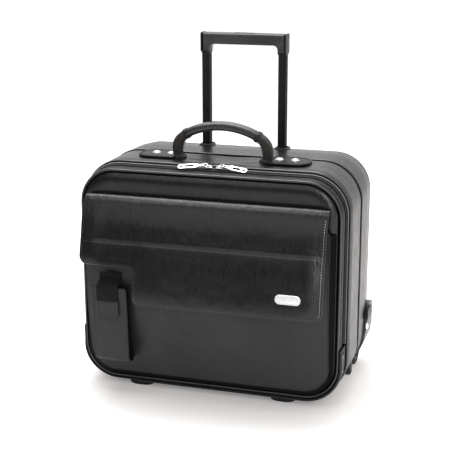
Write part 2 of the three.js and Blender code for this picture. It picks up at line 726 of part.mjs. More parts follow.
function makeTrolleyGrip() {
  const half = TROLLEY_GRIP_WIDTH / 2;
  const inner = POST_X - POST_WIDTH / 2 - 1;
  const shape = rounded([
    [-half + 1, POST_GRIP_END, 2], [-inner, POST_GRIP_END, 2], [-inner, GRIP_UNDER_Z, 9],
    [inner, GRIP_UNDER_Z, 9], [inner, POST_GRIP_END, 2], [half - 1, POST_GRIP_END, 2],
    [half, GRIP_TOP_Z, 7], [-half, GRIP_TOP_Z, 7],
  ]);
  const y0 = POST_Y - TROLLEY_GRIP_DEPTH / 2;
  const y1 = POST_Y + TROLLEY_GRIP_DEPTH / 2;
  const section = rounded([
    [y0, POST_GRIP_END, 3], [y1, POST_GRIP_END, 3], [y1, GRIP_TOP_Z, 7], [y0, GRIP_TOP_Z, 7],
  ]);
  let grip = alongY(shape, y0, y1).intersect(alongX(section, -half, half));

  const socketTop = POST_GRIP_END + POST_IN_GRIP + GAP;
  SIDES.forEach(([, side]) => {
    grip = grip.subtract(alongZ(
      roundedRect(POST_WIDTH + 2 * GAP, POST_DEPTH + 2 * GAP, 3), POST_GRIP_END - 5, socketTop,
    ).translate([side * POST_X, POST_Y, 0]));
  });
  const yokeReach = POST_X + ROD_RADIUS + 1;
  const channel = ROD_RADIUS + 1;
  const channelLow = GRIP_UNDER_Z + 2 - BUTTON_TRAVEL;
  grip = grip.subtract(box(
    -yokeReach, yokeReach, POST_Y - channel, POST_Y + channel, GRIP_UNDER_Z + 2, GRIP_UNDER_Z + 12,
  ));
  SIDES.forEach(([, side]) => {
    grip = grip.subtract(box(
      side * POST_X - channel, side * POST_X + channel, POST_Y - channel, POST_Y + channel,
      Math.min(channelLow, socketTop - 1), GRIP_UNDER_Z + 12,
    ));
  });
  const yokeTop = GRIP_UNDER_Z + 11.5;
  grip = grip.subtract(alongZ(
    roundedRect(BUTTON_WIDTH + 1, BUTTON_DEPTH + 1, 4), yokeTop - BUTTON_TRAVEL - GAP, GRIP_TOP_Z + 5,
  ).translate([0, POST_Y, 0]));
  add("trolley_grip", grip, PLASTIC);

  const buttonTop = GRIP_TOP_Z + BUTTON_PROUD;
  const button = alongZ(
    roundedRect(BUTTON_WIDTH, BUTTON_DEPTH, 4), yokeTop + GAP, buttonTop,
  ).translate([0, POST_Y, 0]);
  add("release_button", button, PLASTIC);

  let yoke = box(
    -POST_X - ROD_RADIUS, POST_X + ROD_RADIUS, POST_Y - ROD_RADIUS, POST_Y + ROD_RADIUS,
    yokeTop - 4, yokeTop,
  );
  const rodBottom = INNER_BOTTOM + PIN_HEIGHT + PIN_RADIUS + BUTTON_TRAVEL + 1;
  SIDES.forEach(([, side]) => {
    yoke = yoke.add(disc(
      ROD_RADIUS, yokeTop - 1 - rodBottom, "z",
      [side * POST_X, POST_Y, (yokeTop - 1 + rodBottom) / 2], 12,
    ));
  });
  add("release_yoke", yoke, STEEL);
}

// ---------------------------------------------------------------- wheels and feet
function makeHousing(side) {
  const x0 = WHEEL_X - WELL_HALF - HOUSING_WALL;
  const y0 = WHEEL_Y - WELL_RADIUS - HOUSING_WALL;
  const y1 = BACK_Y + HOUSING_BACK;
  const wellTop = WHEEL_RADIUS + WELL_RADIUS;
  const form = slab([[0, HOUSING_OFFSET - 1], [y1 - 6, HOUSING_OFFSET], [y1, HOUSING_OFFSET - 5]]);
  const profile = rounded([
    [y0, 14, 4], [WHEEL_Y + 16, 10, 6], [y1, WHEEL_RADIUS - 4, 10], [y1, HOUSING_TOP - 14, 12],
    [y1 - 14, HOUSING_TOP, 6], [WHEEL_Y - 1, HOUSING_TOP, 6],
    [y0 + 12, wellTop + 9, 12], [y0, wellTop - 11, 6],
  ]);
  const block = form.intersect(alongX(profile, x0, HALF + 40));
  const caseRoom = slab(REAR_STATIONS.map(([y, offset, lift], i) => [
    i === 0 ? 0 : i === REAR_STATIONS.length - 1 ? BACK_Y + GAP : y,
    Math.max(offset, REAR_CREST - 4.5) + GAP + 0.1, 0,
  ])).intersect(box(-HALF - 40, HALF + 40, 0, BACK_Y + GAP, wellTop + HOUSING_WALL, 400));
  const well = box(
    WHEEL_X - WELL_HALF, WHEEL_X + WELL_HALF, WHEEL_Y - WELL_RADIUS, WHEEL_Y + WELL_RADIUS,
    -10, wellTop,
  );
  const bore = disc(AXLE_RADIUS + GAP, 60, "x", [WHEEL_X, WHEEL_Y, WHEEL_RADIUS], 32);
  return onSide(block.subtract(caseRoom).subtract(well).subtract(bore), side);
}

function makeWheels() {
  SIDES.forEach(([name, side]) => {
    const centre = [side * WHEEL_X, WHEEL_Y, WHEEL_RADIUS];
    add("wheel_housing_" + name, makeHousing(side), PLASTIC);
    const axleLength = 2 * (WELL_HALF + HOUSING_WALL - 1);
    add("wheel_axle_" + name, disc(AXLE_RADIUS, axleLength, "x", centre, 32), STEEL);

    const tread = new THREE.LatheGeometry([
      [HUB_RADIUS + GAP, -WHEEL_WIDTH / 2], [WHEEL_RADIUS - 2.5, -WHEEL_WIDTH / 2],
      [WHEEL_RADIUS, -WHEEL_WIDTH / 2 + 3.5], [WHEEL_RADIUS, WHEEL_WIDTH / 2 - 3.5],
      [WHEEL_RADIUS - 2.5, WHEEL_WIDTH / 2], [HUB_RADIUS + GAP, WHEEL_WIDTH / 2],
      [HUB_RADIUS + GAP, -WHEEL_WIDTH / 2],
    ].map(([r, h]) => new THREE.Vector2(r, h)), 40).rotateZ(Math.PI / 2).translate(...centre);
    add("wheel_tyre_" + name, fromGeometry(tread), RUBBER);

    const hub = disc(HUB_RADIUS, WHEEL_WIDTH - 2, "x", centre, 32)
      .subtract(disc(BEARING_RADIUS + GAP, WHEEL_WIDTH + 5, "x", centre, 32));
    add("wheel_hub_" + name, hub, PLASTIC);
    const bearing = disc(BEARING_RADIUS, WHEEL_WIDTH - 4, "x", centre, 32)
      .subtract(disc(AXLE_RADIUS + RUNNING, WHEEL_WIDTH + 5, "x", centre, 32));
    add("wheel_bearing_" + name, bearing, STEEL);
  });
}

function makeFeet() {
  const top = PANEL_BOTTOM - GUARD_CREST - GAP;
  SIDES.forEach(([name, side]) => {
    const half = FOOT_WIDTH / 2;
    const shape = rounded([
      [-half, top], [-half + 5, top * 0.4, 3], [-FOOT_FLAT / 2, 0], [FOOT_FLAT / 2, 0],
      [half - 5, top * 0.4, 3], [half, top],
    ]);
    add("front_foot_" + name, alongY(shape, 3, 31).translate([side * FOOT_X, 0, 0]), RUBBER);

    const half2 = SKID_SIZE / 2;
    const post = alongZ(roundedRect(SKID_SIZE, SKID_SIZE + 4, 4), 1, 60)
      .translate([SKID_X, SKID_Y, 0]);
    const under = slab([
      [0, BAND_CREST + GAP, 0], [SEAM_Y, BAND_CREST + GAP, 0],
      ...REAR_STATIONS.map(([y, offset, lift]) => [y, offset + GAP, lift]),
    ]);
    const reach = box(SKID_X - half2 - 5, SKID_X + half2 + 5, 0, 400, 0, 40);
    add("rear_skid_" + name, onSide(post.intersect(reach).subtract(under), side), RUBBER);
  });
}

makeShell();
makeBottomGuard();
makeLinings();
makeZip();
makeSliders();
makeLid();
makeFrontPocket();
makePhonePocket();
makePhoneStrap();
makeFlap();
makeCarryHandle();
makeHandlePads();
makeTrolleyTubes();
makeTrolleyGrip();
makeWheels();
makeFeet();

// the origin goes to the bottom centre of the object's box
const bounds = new THREE.Box3().setFromObject(model);
model.position.y = -(bounds.min.y + bounds.max.y) / 2;

export default model;
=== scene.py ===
# The rolling laptop case's looks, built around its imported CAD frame. The case's lengths are millimetres,
# with Y measured from the front panel's edge as in the CAD source; at() turns them into the frame's metres.
# Materials, floor, lights and camera are in metres.
import math

import bmesh
import bpy
import numpy as np
from mathutils import Matrix, Vector, noise
from mathutils.geometry import delaunay_2d_cdt


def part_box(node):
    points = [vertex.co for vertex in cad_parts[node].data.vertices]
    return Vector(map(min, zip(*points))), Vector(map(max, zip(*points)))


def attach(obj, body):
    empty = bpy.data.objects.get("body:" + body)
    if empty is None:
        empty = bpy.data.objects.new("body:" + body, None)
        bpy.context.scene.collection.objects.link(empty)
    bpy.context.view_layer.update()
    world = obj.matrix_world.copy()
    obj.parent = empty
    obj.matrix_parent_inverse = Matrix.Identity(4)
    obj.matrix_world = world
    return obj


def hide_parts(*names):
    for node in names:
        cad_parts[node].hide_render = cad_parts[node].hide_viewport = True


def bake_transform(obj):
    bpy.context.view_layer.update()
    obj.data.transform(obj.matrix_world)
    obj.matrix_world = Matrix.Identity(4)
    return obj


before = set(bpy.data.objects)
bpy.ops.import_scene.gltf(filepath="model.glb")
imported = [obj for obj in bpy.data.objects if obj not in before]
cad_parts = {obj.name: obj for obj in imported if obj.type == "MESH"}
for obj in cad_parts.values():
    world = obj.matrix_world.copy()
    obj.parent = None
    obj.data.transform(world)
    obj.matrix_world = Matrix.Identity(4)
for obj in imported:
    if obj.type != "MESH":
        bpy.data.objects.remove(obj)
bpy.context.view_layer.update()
MM = 0.001
SIDES = (("left", -1), ("right", 1))

# ---------------------------------------------------------------- sizes worked out from the frame
def low(node):
    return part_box(node)[0] / MM


def high(node):
    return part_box(node)[1] / MM


def middle(node):
    """A node's centre in this script's millimetres."""
    lo, hi = low(node), high(node)
    return (lo.x + hi.x) / 2, (lo.y + hi.y) / 2 - Y_SHIFT, (lo.z + hi.z) / 2


def half_size(node):
    lo, hi = low(node), high(node)
    return (hi.x - lo.x) / 2, (hi.y - lo.y) / 2, (hi.z - lo.z) / 2


PANEL_FRONT = 6.0
Y_SHIFT = low("front_panel").y + PANEL_FRONT
HALF = high("front_panel").x - 1
TOP = high("front_panel").z - 1
BOTTOM = low("front_panel").z + 1
TOP_RADIUS = 52.0
BOTTOM_RADIUS = 50.0
CREST = high("main_band").z - TOP
TOP_Z = TOP + CREST
REAR_Y = high("rear_band").y - Y_SHIFT
BACK_Y = high("back_panel").y - Y_SHIFT
ZIP_Y = high("zip_tape_lid").y - Y_SHIFT + 0.3
GUARD_TOP = high("bottom_guard").z


def at(points):
    """Millimetres from the panel's edge to metres in the frame."""
    p = np.asarray(points, float).reshape(-1, 3) * MM
    p[:, 1] += Y_SHIFT * MM
    return p


# ---------------------------------------------------------------- meshes
def new_object(name, verts, faces, material, body, slot=None, replaces=(), flat_angle=None):
    mesh = bpy.data.meshes.new(name)
    mesh.from_pydata([tuple(v) for v in at(verts)], [], [tuple(int(i) for i in f) for f in faces])
    mesh.update()
    bm = bmesh.new()
    bm.from_mesh(mesh)
    bmesh.ops.remove_doubles(bm, verts=bm.verts, dist=1e-6)
    bmesh.ops.recalc_face_normals(bm, faces=bm.faces)
    bm.to_mesh(mesh)
    bm.free()
    obj = bpy.data.objects.new(name, mesh)
    bpy.context.scene.collection.objects.link(obj)
    mesh.materials.append(material)
    mesh.shade_smooth()
    if flat_angle is not None:
        sharpen(obj, flat_angle)
    if body:
        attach(obj, body)
    if replaces:
        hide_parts(*replaces)
    return obj


def sharpen(obj, degrees):
    """Edges that turn by more than this stay sharp."""
    bm = bmesh.new()
    bm.from_mesh(obj.data)
    for edge in bm.edges:
        if len(edge.link_faces) == 2 and edge.calc_face_angle(0) > math.radians(degrees):
            edge.smooth = False
    bm.to_mesh(obj.data)
    bm.free()


def skin(rings, wrap=True, close=False, cap_first=False, cap_last=False):
    """Faces between rings of equal counts; wrap joins a ring's ends, close the last ring to the first."""
    verts = np.concatenate([np.asarray(r, float) for r in rings])
    n = len(rings[0])
    faces = []
    for i in range(len(rings) if close else len(rings) - 1):
        a, b = i * n, ((i + 1) % len(rings)) * n
        for j in range(n if wrap else n - 1):
            k = (j + 1) % n
            faces.append((a + j, a + k, b + k, b + j))
    if cap_first:
        faces.append(tuple(range(n - 1, -1, -1)))
    if cap_last:
        faces.append(tuple((len(rings) - 1) * n + j for j in range(n)))
    return verts, faces
def capped(rings):
    """Closed rings skinned in order, with both ends shut."""
    return skin(rings, cap_first=True, cap_last=True)


def strip(rings):
    """Open rings of equal counts joined last to first, with both of the strip's ends closed."""
    verts, faces = skin(rings, wrap=False, close=True)
    n, m = len(rings[0]), len(rings)
    faces += [tuple(i * n for i in range(m)), tuple(i * n + n - 1 for i in reversed(range(m)))]
    return verts, faces
def merged(parts):
    """Several (verts, faces) as one."""
    verts, faces, base = [], [], 0
    for v, f in parts:
        verts.append(np.asarray(v, float))
        faces += [tuple(i + base for i in face) for face in f]
        base += len(v)
    return np.concatenate(verts), faces


CORNER, ACROSS, UPRIGHT = 14, 60, 50


def outline(offset, lift=0.0):
    """The case's rounded outline in (x, z), standing out by offset, with its outward normals."""
    half, bottom, top = HALF + offset, BOTTOM - offset + lift, TOP + offset
    lo, hi = max(BOTTOM_RADIUS + offset, 2.0), max(TOP_RADIUS + offset, 2.0)
    points, normals = [], []

    def arc(cx, cz, radius, start):
        for i in range(CORNER):
            a = math.radians(start + 90 * i / (CORNER - 1))
            points.append((cx + radius * math.cos(a), cz + radius * math.sin(a)))
            normals.append((math.cos(a), math.sin(a)))

    def run(end, count, normal):
        start = points[-1]
        for i in range(1, count):
            t = i / count
            points.append((start[0] + (end[0] - start[0]) * t, start[1] + (end[1] - start[1]) * t))
            normals.append(normal)

    arc(half - lo, bottom + lo, lo, -90)
    run((half, top - hi), UPRIGHT, (1, 0))
    arc(half - hi, top - hi, hi, 0)
    run((hi - half, top), ACROSS, (0, 1))
    arc(hi - half, top - hi, hi, 90)
    run((-half, bottom + lo), UPRIGHT, (-1, 0))
    arc(lo - half, bottom + lo, lo, 180)
    run((half - lo, bottom), ACROSS, (0, -1))
    return np.array(points), np.array(normals)


def ring_at(y, offset, lift=0.0, wave=None):
    """One ring of the case; wave(x, y, z) adds to the offset along the outline's normals."""
    p, n = outline(offset, lift)
    if wave is not None:
        extra = np.array([wave(x, y, z) for x, z in p])
        p = p + n * extra[:, None]
    return np.stack([p[:, 0], np.full(len(p), y), p[:, 1]], 1)


def smooth_profile(points, count):
    """Catmull-Rom through the points, resampled evenly."""
    p = np.asarray(points, float)
    p = np.vstack([2 * p[0] - p[1], p, 2 * p[-1] - p[-2]])
    out = []
    for i in range(1, len(p) - 2):
        for t in np.linspace(0, 1, 12, endpoint=False):
            a, b, c, d = p[i - 1], p[i], p[i + 1], p[i + 2]
            out.append(0.5 * (2 * b + (c - a) * t + (2 * a - 5 * b + 4 * c - d) * t * t
                              + (3 * b - a - 3 * c + d) * t ** 3))
    out.append(p[-2])
    return resample(np.array(out), count)


def arc_lengths(path):
    return np.concatenate([[0], np.cumsum(np.linalg.norm(np.diff(path, axis=0), axis=1))])


def resample(path, count, closed=False):
    p = np.vstack([path, path[:1]]) if closed else np.asarray(path, float)
    s = arc_lengths(p)
    t = np.linspace(0, s[-1], count, endpoint=not closed)
    return np.stack([np.interp(t, s, p[:, k]) for k in range(p.shape[1])], 1)


def fbm(x, y, z, scale, seed=0.0):
    return noise.fractal(Vector((x * scale + seed, y * scale - seed, z * scale + 2 * seed)), 1.0, 2.0, 3)


def circle(count, across, over):
    """Points round the unit circle that two vectors span."""
    angles = np.linspace(0, 2 * math.pi, count, endpoint=False)
    return np.outer(np.cos(angles), across) + np.outer(np.sin(angles), over)


def tube_along(path, radius, sides, up, closed=False, flat=1.0):
    """A round bead along a path; flat scales it along up."""
    p = np.asarray(path, float)
    if closed:
        tangent = np.roll(p, -1, 0) - np.roll(p, 1, 0)
    else:
        tangent = np.gradient(p, axis=0)
    tangent /= np.maximum(np.linalg.norm(tangent, axis=1)[:, None], 1e-9)
    side = np.cross(tangent, up)
    side /= np.maximum(np.linalg.norm(side, axis=1)[:, None], 1e-9)
    over = np.cross(side, tangent)
    rings = [here + radius * circle(sides, s, flat * o) for here, s, o in zip(p, side, over)]
    return skin(rings, close=closed, cap_first=not closed, cap_last=not closed)


def turned(profile, centre, axis, count=40):
    """(distance along the axis, radius) turned about it, with closed ends."""
    axis = np.array(axis, float)
    a = np.cross(axis, (0, 0, 1.0) if abs(axis[2]) < 0.9 else (1.0, 0, 0))
    ring = circle(count, a, np.cross(axis, a))
    return capped([np.array(centre) + axis * d + ring * r for d, r in profile])


def level(path, z):
    """An (x, y) path at one height."""
    return np.stack([path[:, 0], path[:, 1], np.full(len(path), z)], 1)


# ---------------------------------------------------------------- sheets of leather cut to an outline
def rounded_polygon(corners, pitch=2.5):
    """Corners [u, v, radius], counterclockwise, as a dense closed path."""
    c = np.array([p[:2] for p in corners], float)
    n = len(c)
    path = []
    for i in range(n):
        before, here, after = c[i - 1], c[i], c[(i + 1) % n]
        a, b = before - here, after - here
        la, lb = np.linalg.norm(a), np.linalg.norm(b)
        a, b = a / la, b / lb
        radius = corners[i][2]
        if radius <= 0:
            path.append([here])
            continue
        angle = math.acos(np.clip(a @ b, -1, 1))
        reach = min(radius / math.tan(angle / 2), 0.49 * la, 0.49 * lb)
        radius = reach * math.tan(angle / 2)
        mid = a + b
        centre = here + mid / np.linalg.norm(mid) * radius / math.sin(angle / 2)
        start, end = here + a * reach - centre, here + b * reach - centre
        steps = max(4, int(radius * (math.pi - angle) / (0.6 * pitch)))
        turn = math.atan2(start[0] * end[1] - start[1] * end[0], start @ end)
        path.append([centre + np.array([[math.cos(t), -math.sin(t)], [math.sin(t), math.cos(t)]]) @ start
                     for t in np.linspace(0, turn, steps)])
    out = []
    for i in range(n):
        out += list(path[i])
        last, first = path[i][-1], path[(i + 1) % n][0]
        steps = int(np.linalg.norm(first - last) / pitch)
        out += [last + (first - last) * k / steps for k in range(1, steps)]
    return np.array(out)
def rounded_box(x0, y0, x1, y1, pitch, low_radius, high_radius=None):
    """A rounded rectangle as a dense closed path."""
    if high_radius is None:
        high_radius = low_radius
    return rounded_polygon([(x0, y0, low_radius), (x1, y0, low_radius),
                            (x1, y1, high_radius), (x0, y1, high_radius)], pitch)


def as_arrays(*values):
    return np.broadcast_arrays(*(np.asarray(value, float) for value in values))
def inset_path(path, distance):
    """The closed counterclockwise path moved inwards."""
    t = np.roll(path, -1, 0) - np.roll(path, 1, 0)
    t /= np.linalg.norm(t, axis=1)[:, None]
    return path + np.stack([-t[:, 1], t[:, 0]], 1) * distance


def edge_distance(points, path):
    """Each point's distance from the closed path."""
    a, b = path, np.roll(path, -1, 0)
    d = b - a
    best = np.full(len(points), 1e9)
    for i in range(len(a)):
        t = np.clip(((points - a[i]) @ d[i]) / max(d[i] @ d[i], 1e-12), 0, 1)
        q = points - a[i] - t[:, None] * d[i]
        best = np.minimum(best, (q * q).sum(1))
    return np.sqrt(best)


def inside(points, path):
    x, y = points[:, 0], points[:, 1]
    hit = np.zeros(len(points), bool)
    j = len(path) - 1
    for i in range(len(path)):
        (xi, yi), (xj, yj) = path[i], path[j]
        if yi != yj:
            hit ^= ((yi > y) != (yj > y)) & (x < (xj - xi) * (y - yi) / (yj - yi) + xi)
        j = i
    return hit


def cut_sheet(path, place, thick, pitch=4.0, edge=None, extra=None, under=None):
    """A sheet cut to path in (u, v), with rounded edges, put in space by place(u, v, height).
    extra(u, v, d) raises its face and under(u, v, d) its back; d is the distance from the edge."""
    edge = thick / 2 if edge is None else edge
    rings = [path] + [inset_path(path, edge * s) for s in (0.08, 0.3, 0.62, 1.0, 1.6)]
    reach = edge * 1.6
    lo, hi = path.min(0), path.max(0)
    rows = np.arange(lo[1], hi[1], pitch * 0.87)
    grid = np.array([(u + (pitch / 2) * (i % 2), v) for i, v in enumerate(rows)
                     for u in np.arange(lo[0], hi[0], pitch)])
    grid = grid[inside(grid, path)]
    grid = grid[edge_distance(grid, path) > reach + 0.45 * pitch]
    points = np.vstack(rings + [grid])
    n = len(path)
    loop = [(i, (i + 1) % n) for i in range(n)]
    found = delaunay_2d_cdt([Vector(p) for p in points], loop, [], 1, 1e-5)
    uv = np.array([tuple(v) for v in found[0]])
    d = edge_distance(uv, path)
    d[d < 1e-4] = 0
    share = np.clip(d / edge, 0, 1)
    rise = thick / 2 * np.sqrt(np.clip(1 - (1 - share) ** 2, 0, 1))
    face = rise + (0 if extra is None else extra(uv[:, 0], uv[:, 1], d) * share)
    back = -rise + (0 if under is None else under(uv[:, 0], uv[:, 1], d) * share)
    front = place(uv[:, 0], uv[:, 1], face)
    behind = place(uv[:, 0], uv[:, 1], back)
    m = len(uv)
    other = np.where(d > 0, np.arange(m) + m, np.arange(m))
    faces = [tuple(f) for f in found[2]]
    faces += [tuple(int(other[i]) for i in reversed(f)) for f in found[2]]
    return drop_loose(np.vstack([front, behind]), faces)


def drop_loose(verts, faces):
    """The mesh without the points that no face uses."""
    used = sorted({i for f in faces for i in f})
    where = {old: new for new, old in enumerate(used)}
    return verts[used], [tuple(where[i] for i in f) for f in faces]


# A thread: how far along it each ring is, its size, and how high it stands.
STITCH_RINGS = ((0, 0.25, -0.5), (0.12, 0.85, 0.1), (0.5, 1.0, 0.45), (0.88, 0.85, 0.1), (1, 0.25, -0.5))
STITCH_SIDES = 6


def stitch_row(path, ups, length=2.5, gap=1.5, radius=0.42, closed=False):
    """Short threads along a path of points in space, each standing on the surface with normal ups."""
    path, ups = np.asarray(path, float), np.asarray(ups, float)
    if closed:
        path, ups = np.vstack([path, path[:1]]), np.vstack([ups, ups[:1]])
    s = arc_lengths(path)
    count = max(1, int(s[-1] / (length + gap)))
    pitch = s[-1] / count
    parts = []
    for i in range(count):
        a, b = i * pitch, i * pitch + length
        p = np.array([np.interp([a, b], s, path[:, k]) for k in range(3)]).T
        up = np.array([np.interp((a + b) / 2, s, ups[:, k]) for k in range(3)])
        along = p[1] - p[0]
        reach = np.linalg.norm(along)
        if reach < 1e-6:
            continue
        along /= reach
        side = np.cross(along, up)
        side /= np.linalg.norm(side)
        up = np.cross(side, along)
        round_it = circle(STITCH_SIDES, side, up)
        rings = [p[0] + along * reach * share + up * radius * rise + radius * size * round_it
                 for share, size, rise in STITCH_RINGS]
        parts.append(capped(rings))
    return merged(parts)


def stitches_on(path2d, place, height, closed=True, **more):
    """A row of stitches on a placed sheet, along path2d in (u, v)."""
    u, v = path2d[:, 0], path2d[:, 1]
    h = height(u, v) if callable(height) else np.full(len(u), float(height))
    p = place(u, v, h)
    up = place(u, v, h + 1.0) - p
    up /= np.linalg.norm(up, axis=1)[:, None]
    return stitch_row(p, up, closed=closed, **more)


class Profile:
    """A bent sheet's outer face in (y, z), from its upper edge down."""

    def __init__(self, points, count):
        self.path = smooth_profile(points, count)
        self.s = arc_lengths(self.path)
        self.length = self.s[-1]
        slope = np.gradient(self.path, axis=0)
        self.normal = np.stack([slope[:, 1], -slope[:, 0]], 1) / np.linalg.norm(slope, axis=1)[:, None]

    def place(self, u, s, off):
        """Points at x = u, s down the face and off in front of it."""
        y, z = (np.interp(s, self.s, self.path[:, k]) for k in (0, 1))
        ny, nz = (np.interp(s, self.s, self.normal[:, k]) for k in (0, 1))
        return np.stack([u, y + ny * off, z + nz * off], 1)
# ---------------------------------------------------------------- materials
class Shader:
    """A small builder of node materials in object space, where one unit is a metre."""

    def __init__(self, name):
        self.material = bpy.data.materials.new(name)
        self.material.use_nodes = True
        self.tree = self.material.node_tree
        self.tree.nodes.clear()
        self.out = self.tree.nodes.new("ShaderNodeOutputMaterial")
        self.bsdf = self.tree.nodes.new("ShaderNodeBsdfPrincipled")
        self.tree.links.new(self.bsdf.outputs[0], self.out.inputs[0])
        self.coords = self.node("ShaderNodeTexCoord").outputs["Object"]

    def node(self, kind, inputs=None, **settings):
        made = self.tree.nodes.new(kind)
        for key, value in settings.items():
            setattr(made, key, value)
        for key, value in (inputs or {}).items():
            self.put(made.inputs[key], value)
        return made

    def put(self, socket, value):
        if isinstance(value, bpy.types.NodeSocket):
            self.tree.links.new(value, socket)
        else:
            socket.default_value = value

    def math(self, operation, a, b=0.0):
        return self.node("ShaderNodeMath", {0: a, 1: b}, operation=operation).outputs[0]

    def stretched(self, scale):
        return self.node("ShaderNodeMapping", {"Vector": self.coords, "Scale": scale}).outputs[0]

    def noise(self, scale, detail=3.0, rough=0.55, vector=None, distortion=0.0):
        return self.node("ShaderNodeTexNoise", {
            "Vector": vector or self.coords, "Scale": scale, "Detail": detail,
            "Roughness": rough, "Distortion": distortion}).outputs["Fac"]

    def cells(self, scale, vector):
        return self.node("ShaderNodeTexVoronoi", {"Vector": vector, "Scale": scale}).outputs["Distance"]

    def remap(self, value, a, b, c, d):
        return self.node("ShaderNodeMapRange", {
            "Value": value, "From Min": a, "From Max": b, "To Min": c, "To Max": d}).outputs[0]

    def mix(self, share, a, b):
        made = self.node("ShaderNodeMix", data_type="RGBA")
        self.put(made.inputs["Factor"], share)
        self.put(made.inputs["A"], a)
        self.put(made.inputs["B"], b)
        return made.outputs["Result"]

    def bump(self, height, distance, strength=1.0, normal=None):
        inputs = {"Height": height, "Distance": distance, "Strength": strength}
        if normal is not None:
            inputs["Normal"] = normal
        return self.node("ShaderNodeBump", inputs).outputs[0]

    def set(self, **values):
        for key, value in values.items():
            self.put(self.bsdf.inputs[key.replace("_", " ")], value)

    def worn(self, colour, edge, amount=0.5):
        """Lightens the raised edges."""
        point = self.node("ShaderNodeNewGeometry").outputs["Pointiness"]
        share = self.remap(point, 0.52, 0.62, 0.0, amount)
        return self.mix(share, colour, edge)


def grey(value, warm=0.0):
    return (value * (1 + warm), value, value * (1 - warm), 1)


def leather(name, base, rough, streak, grain=0.05, coat=0.0, shine=0.5):
    """Smooth finished leather: soft streaky creases, a fine pebble grain and slow changes of tone."""
    s = Shader(name)
    tone = s.noise(9.0, 4.0)
    patch = s.noise(60.0, 3.0)
    share = s.math("ADD", s.math("MULTIPLY", tone, 0.7), s.math("MULTIPLY", patch, 0.3))
    colour = s.mix(s.remap(share, 0.35, 0.65, 0.0, 1.0), grey(base * 0.78), grey(base * 1.28))
    creases = s.noise(1.0, 2.5, 0.5, s.stretched((230.0, 230.0, 36.0)), 0.5)
    pebble = s.cells(760, s.stretched((1.0, 1.0, 0.8)))
    pores = s.noise(1900, 2.0, 0.6)
    soft = s.bump(creases, streak * MM * 1.5)
    fine = s.bump(s.math("ADD", pebble, s.math("MULTIPLY", pores, 0.35)), grain * MM, 1.0, soft)
    s.set(Base_Color=colour, Normal=fine, Specular_IOR_Level=shine,
          Roughness=s.remap(creases, 0.3, 0.7, rough - 0.05, rough + 0.08))
    if coat:
        s.set(Coat_Weight=coat, Coat_Roughness=0.16, Coat_Normal=soft)
    return s.material


def woven(name, base, pitch, axes, rough, depth, warm=0.0, twill=False):
    """Crossed threads of the pitch, in metres, along two axes."""
    s = Shader(name)
    parts = s.node("ShaderNodeSeparateXYZ", {0: s.coords}).outputs
    k = 2 * math.pi / pitch
    a = s.math("SINE", s.math("MULTIPLY", parts[axes[0]], k))
    b_in = s.math("MULTIPLY", parts[axes[1]], k)
    b = s.math("SINE", s.math("ADD", b_in, s.math("MULTIPLY", parts[axes[0]], k)) if twill else b_in)
    cross = s.math("MULTIPLY", a, b)
    height = s.remap(s.math("ADD", cross, s.math("MULTIPLY", s.noise(2500, 2.0), 0.6)), -1.0, 1.6, 0.0, 1.0)
    tone = s.noise(130, 3.0)
    # Painted shade: the weave's low points are coloured darker than its crowns, as shade in the hollows
    # between threads.
    colour = s.mix(height, grey(base * 0.45, warm), grey(base * 1.35, warm))
    colour = s.mix(s.remap(tone, 0.35, 0.7, 0.0, 0.5), colour, grey(base * 0.7, warm))
    s.set(Base_Color=colour, Roughness=rough, Normal=s.bump(height, depth * MM),
          Sheen_Weight=0.1, Sheen_Roughness=0.5)
    return s.material


def moulded(name, base, rough=0.42, texture=0.06, warm=0.0, wear=0.5):
    """Moulded plastic: a fine spark-eroded texture, slight flow marks and paler edges."""
    s = Shader(name)
    tone = s.noise(22, 3.0)
    colour = s.mix(s.remap(tone, 0.35, 0.65, 0.0, 1.0), grey(base * 0.85, warm), grey(base * 1.2, warm))
    colour = s.worn(colour, grey(base * 3.0, warm), wear)
    fine = s.bump(s.noise(1500, 3.0), texture * MM)
    broad = s.bump(s.noise(70, 2.0), 0.10 * MM, 1.0, fine)
    s.set(Base_Color=colour, Normal=broad,
          Roughness=s.remap(s.noise(90, 4.0), 0.3, 0.7, rough - 0.07, rough + 0.10))
    return s.material


def metal(name, base, rough, brushed=None, metallic=1.0):
    """Metal; brushed gives the axis its fine lines run along."""
    s = Shader(name)
    scale = [420.0, 420.0, 420.0]
    if brushed is not None:
        scale = [2600.0, 2600.0, 2600.0]
        scale[brushed] = 60.0
    lines = s.noise(1.0, 3.0, 0.6, s.stretched(tuple(scale)))
    tone = s.noise(40, 2.0)
    s.set(Base_Color=s.mix(tone, grey(base * 0.85), grey(base * 1.08)), Metallic=metallic,
          Roughness=s.remap(lines, 0.3, 0.7, rough * 0.75, rough * 1.35),
          Normal=s.bump(lines, 0.008 * MM))
    return s.material


def anodised(name, base, rough=0.34):
    """Black anodised tube with drawn lines along it."""
    s = Shader(name)
    lines = s.noise(1.0, 3.0, 0.6, s.stretched((2400.0, 2400.0, 9.0)))
    colour = s.mix(s.remap(lines, 0.3, 0.7, 0.0, 1.0), grey(base * 0.8), grey(base * 1.25))
    s.set(Base_Color=s.worn(colour, grey(base * 3), 0.4), Normal=s.bump(lines, 0.02 * MM),
          Roughness=s.remap(s.noise(60, 3.0), 0.3, 0.7, rough - 0.05, rough + 0.08),
          Metallic=0.2, Specular_IOR_Level=0.3)
    return s.material


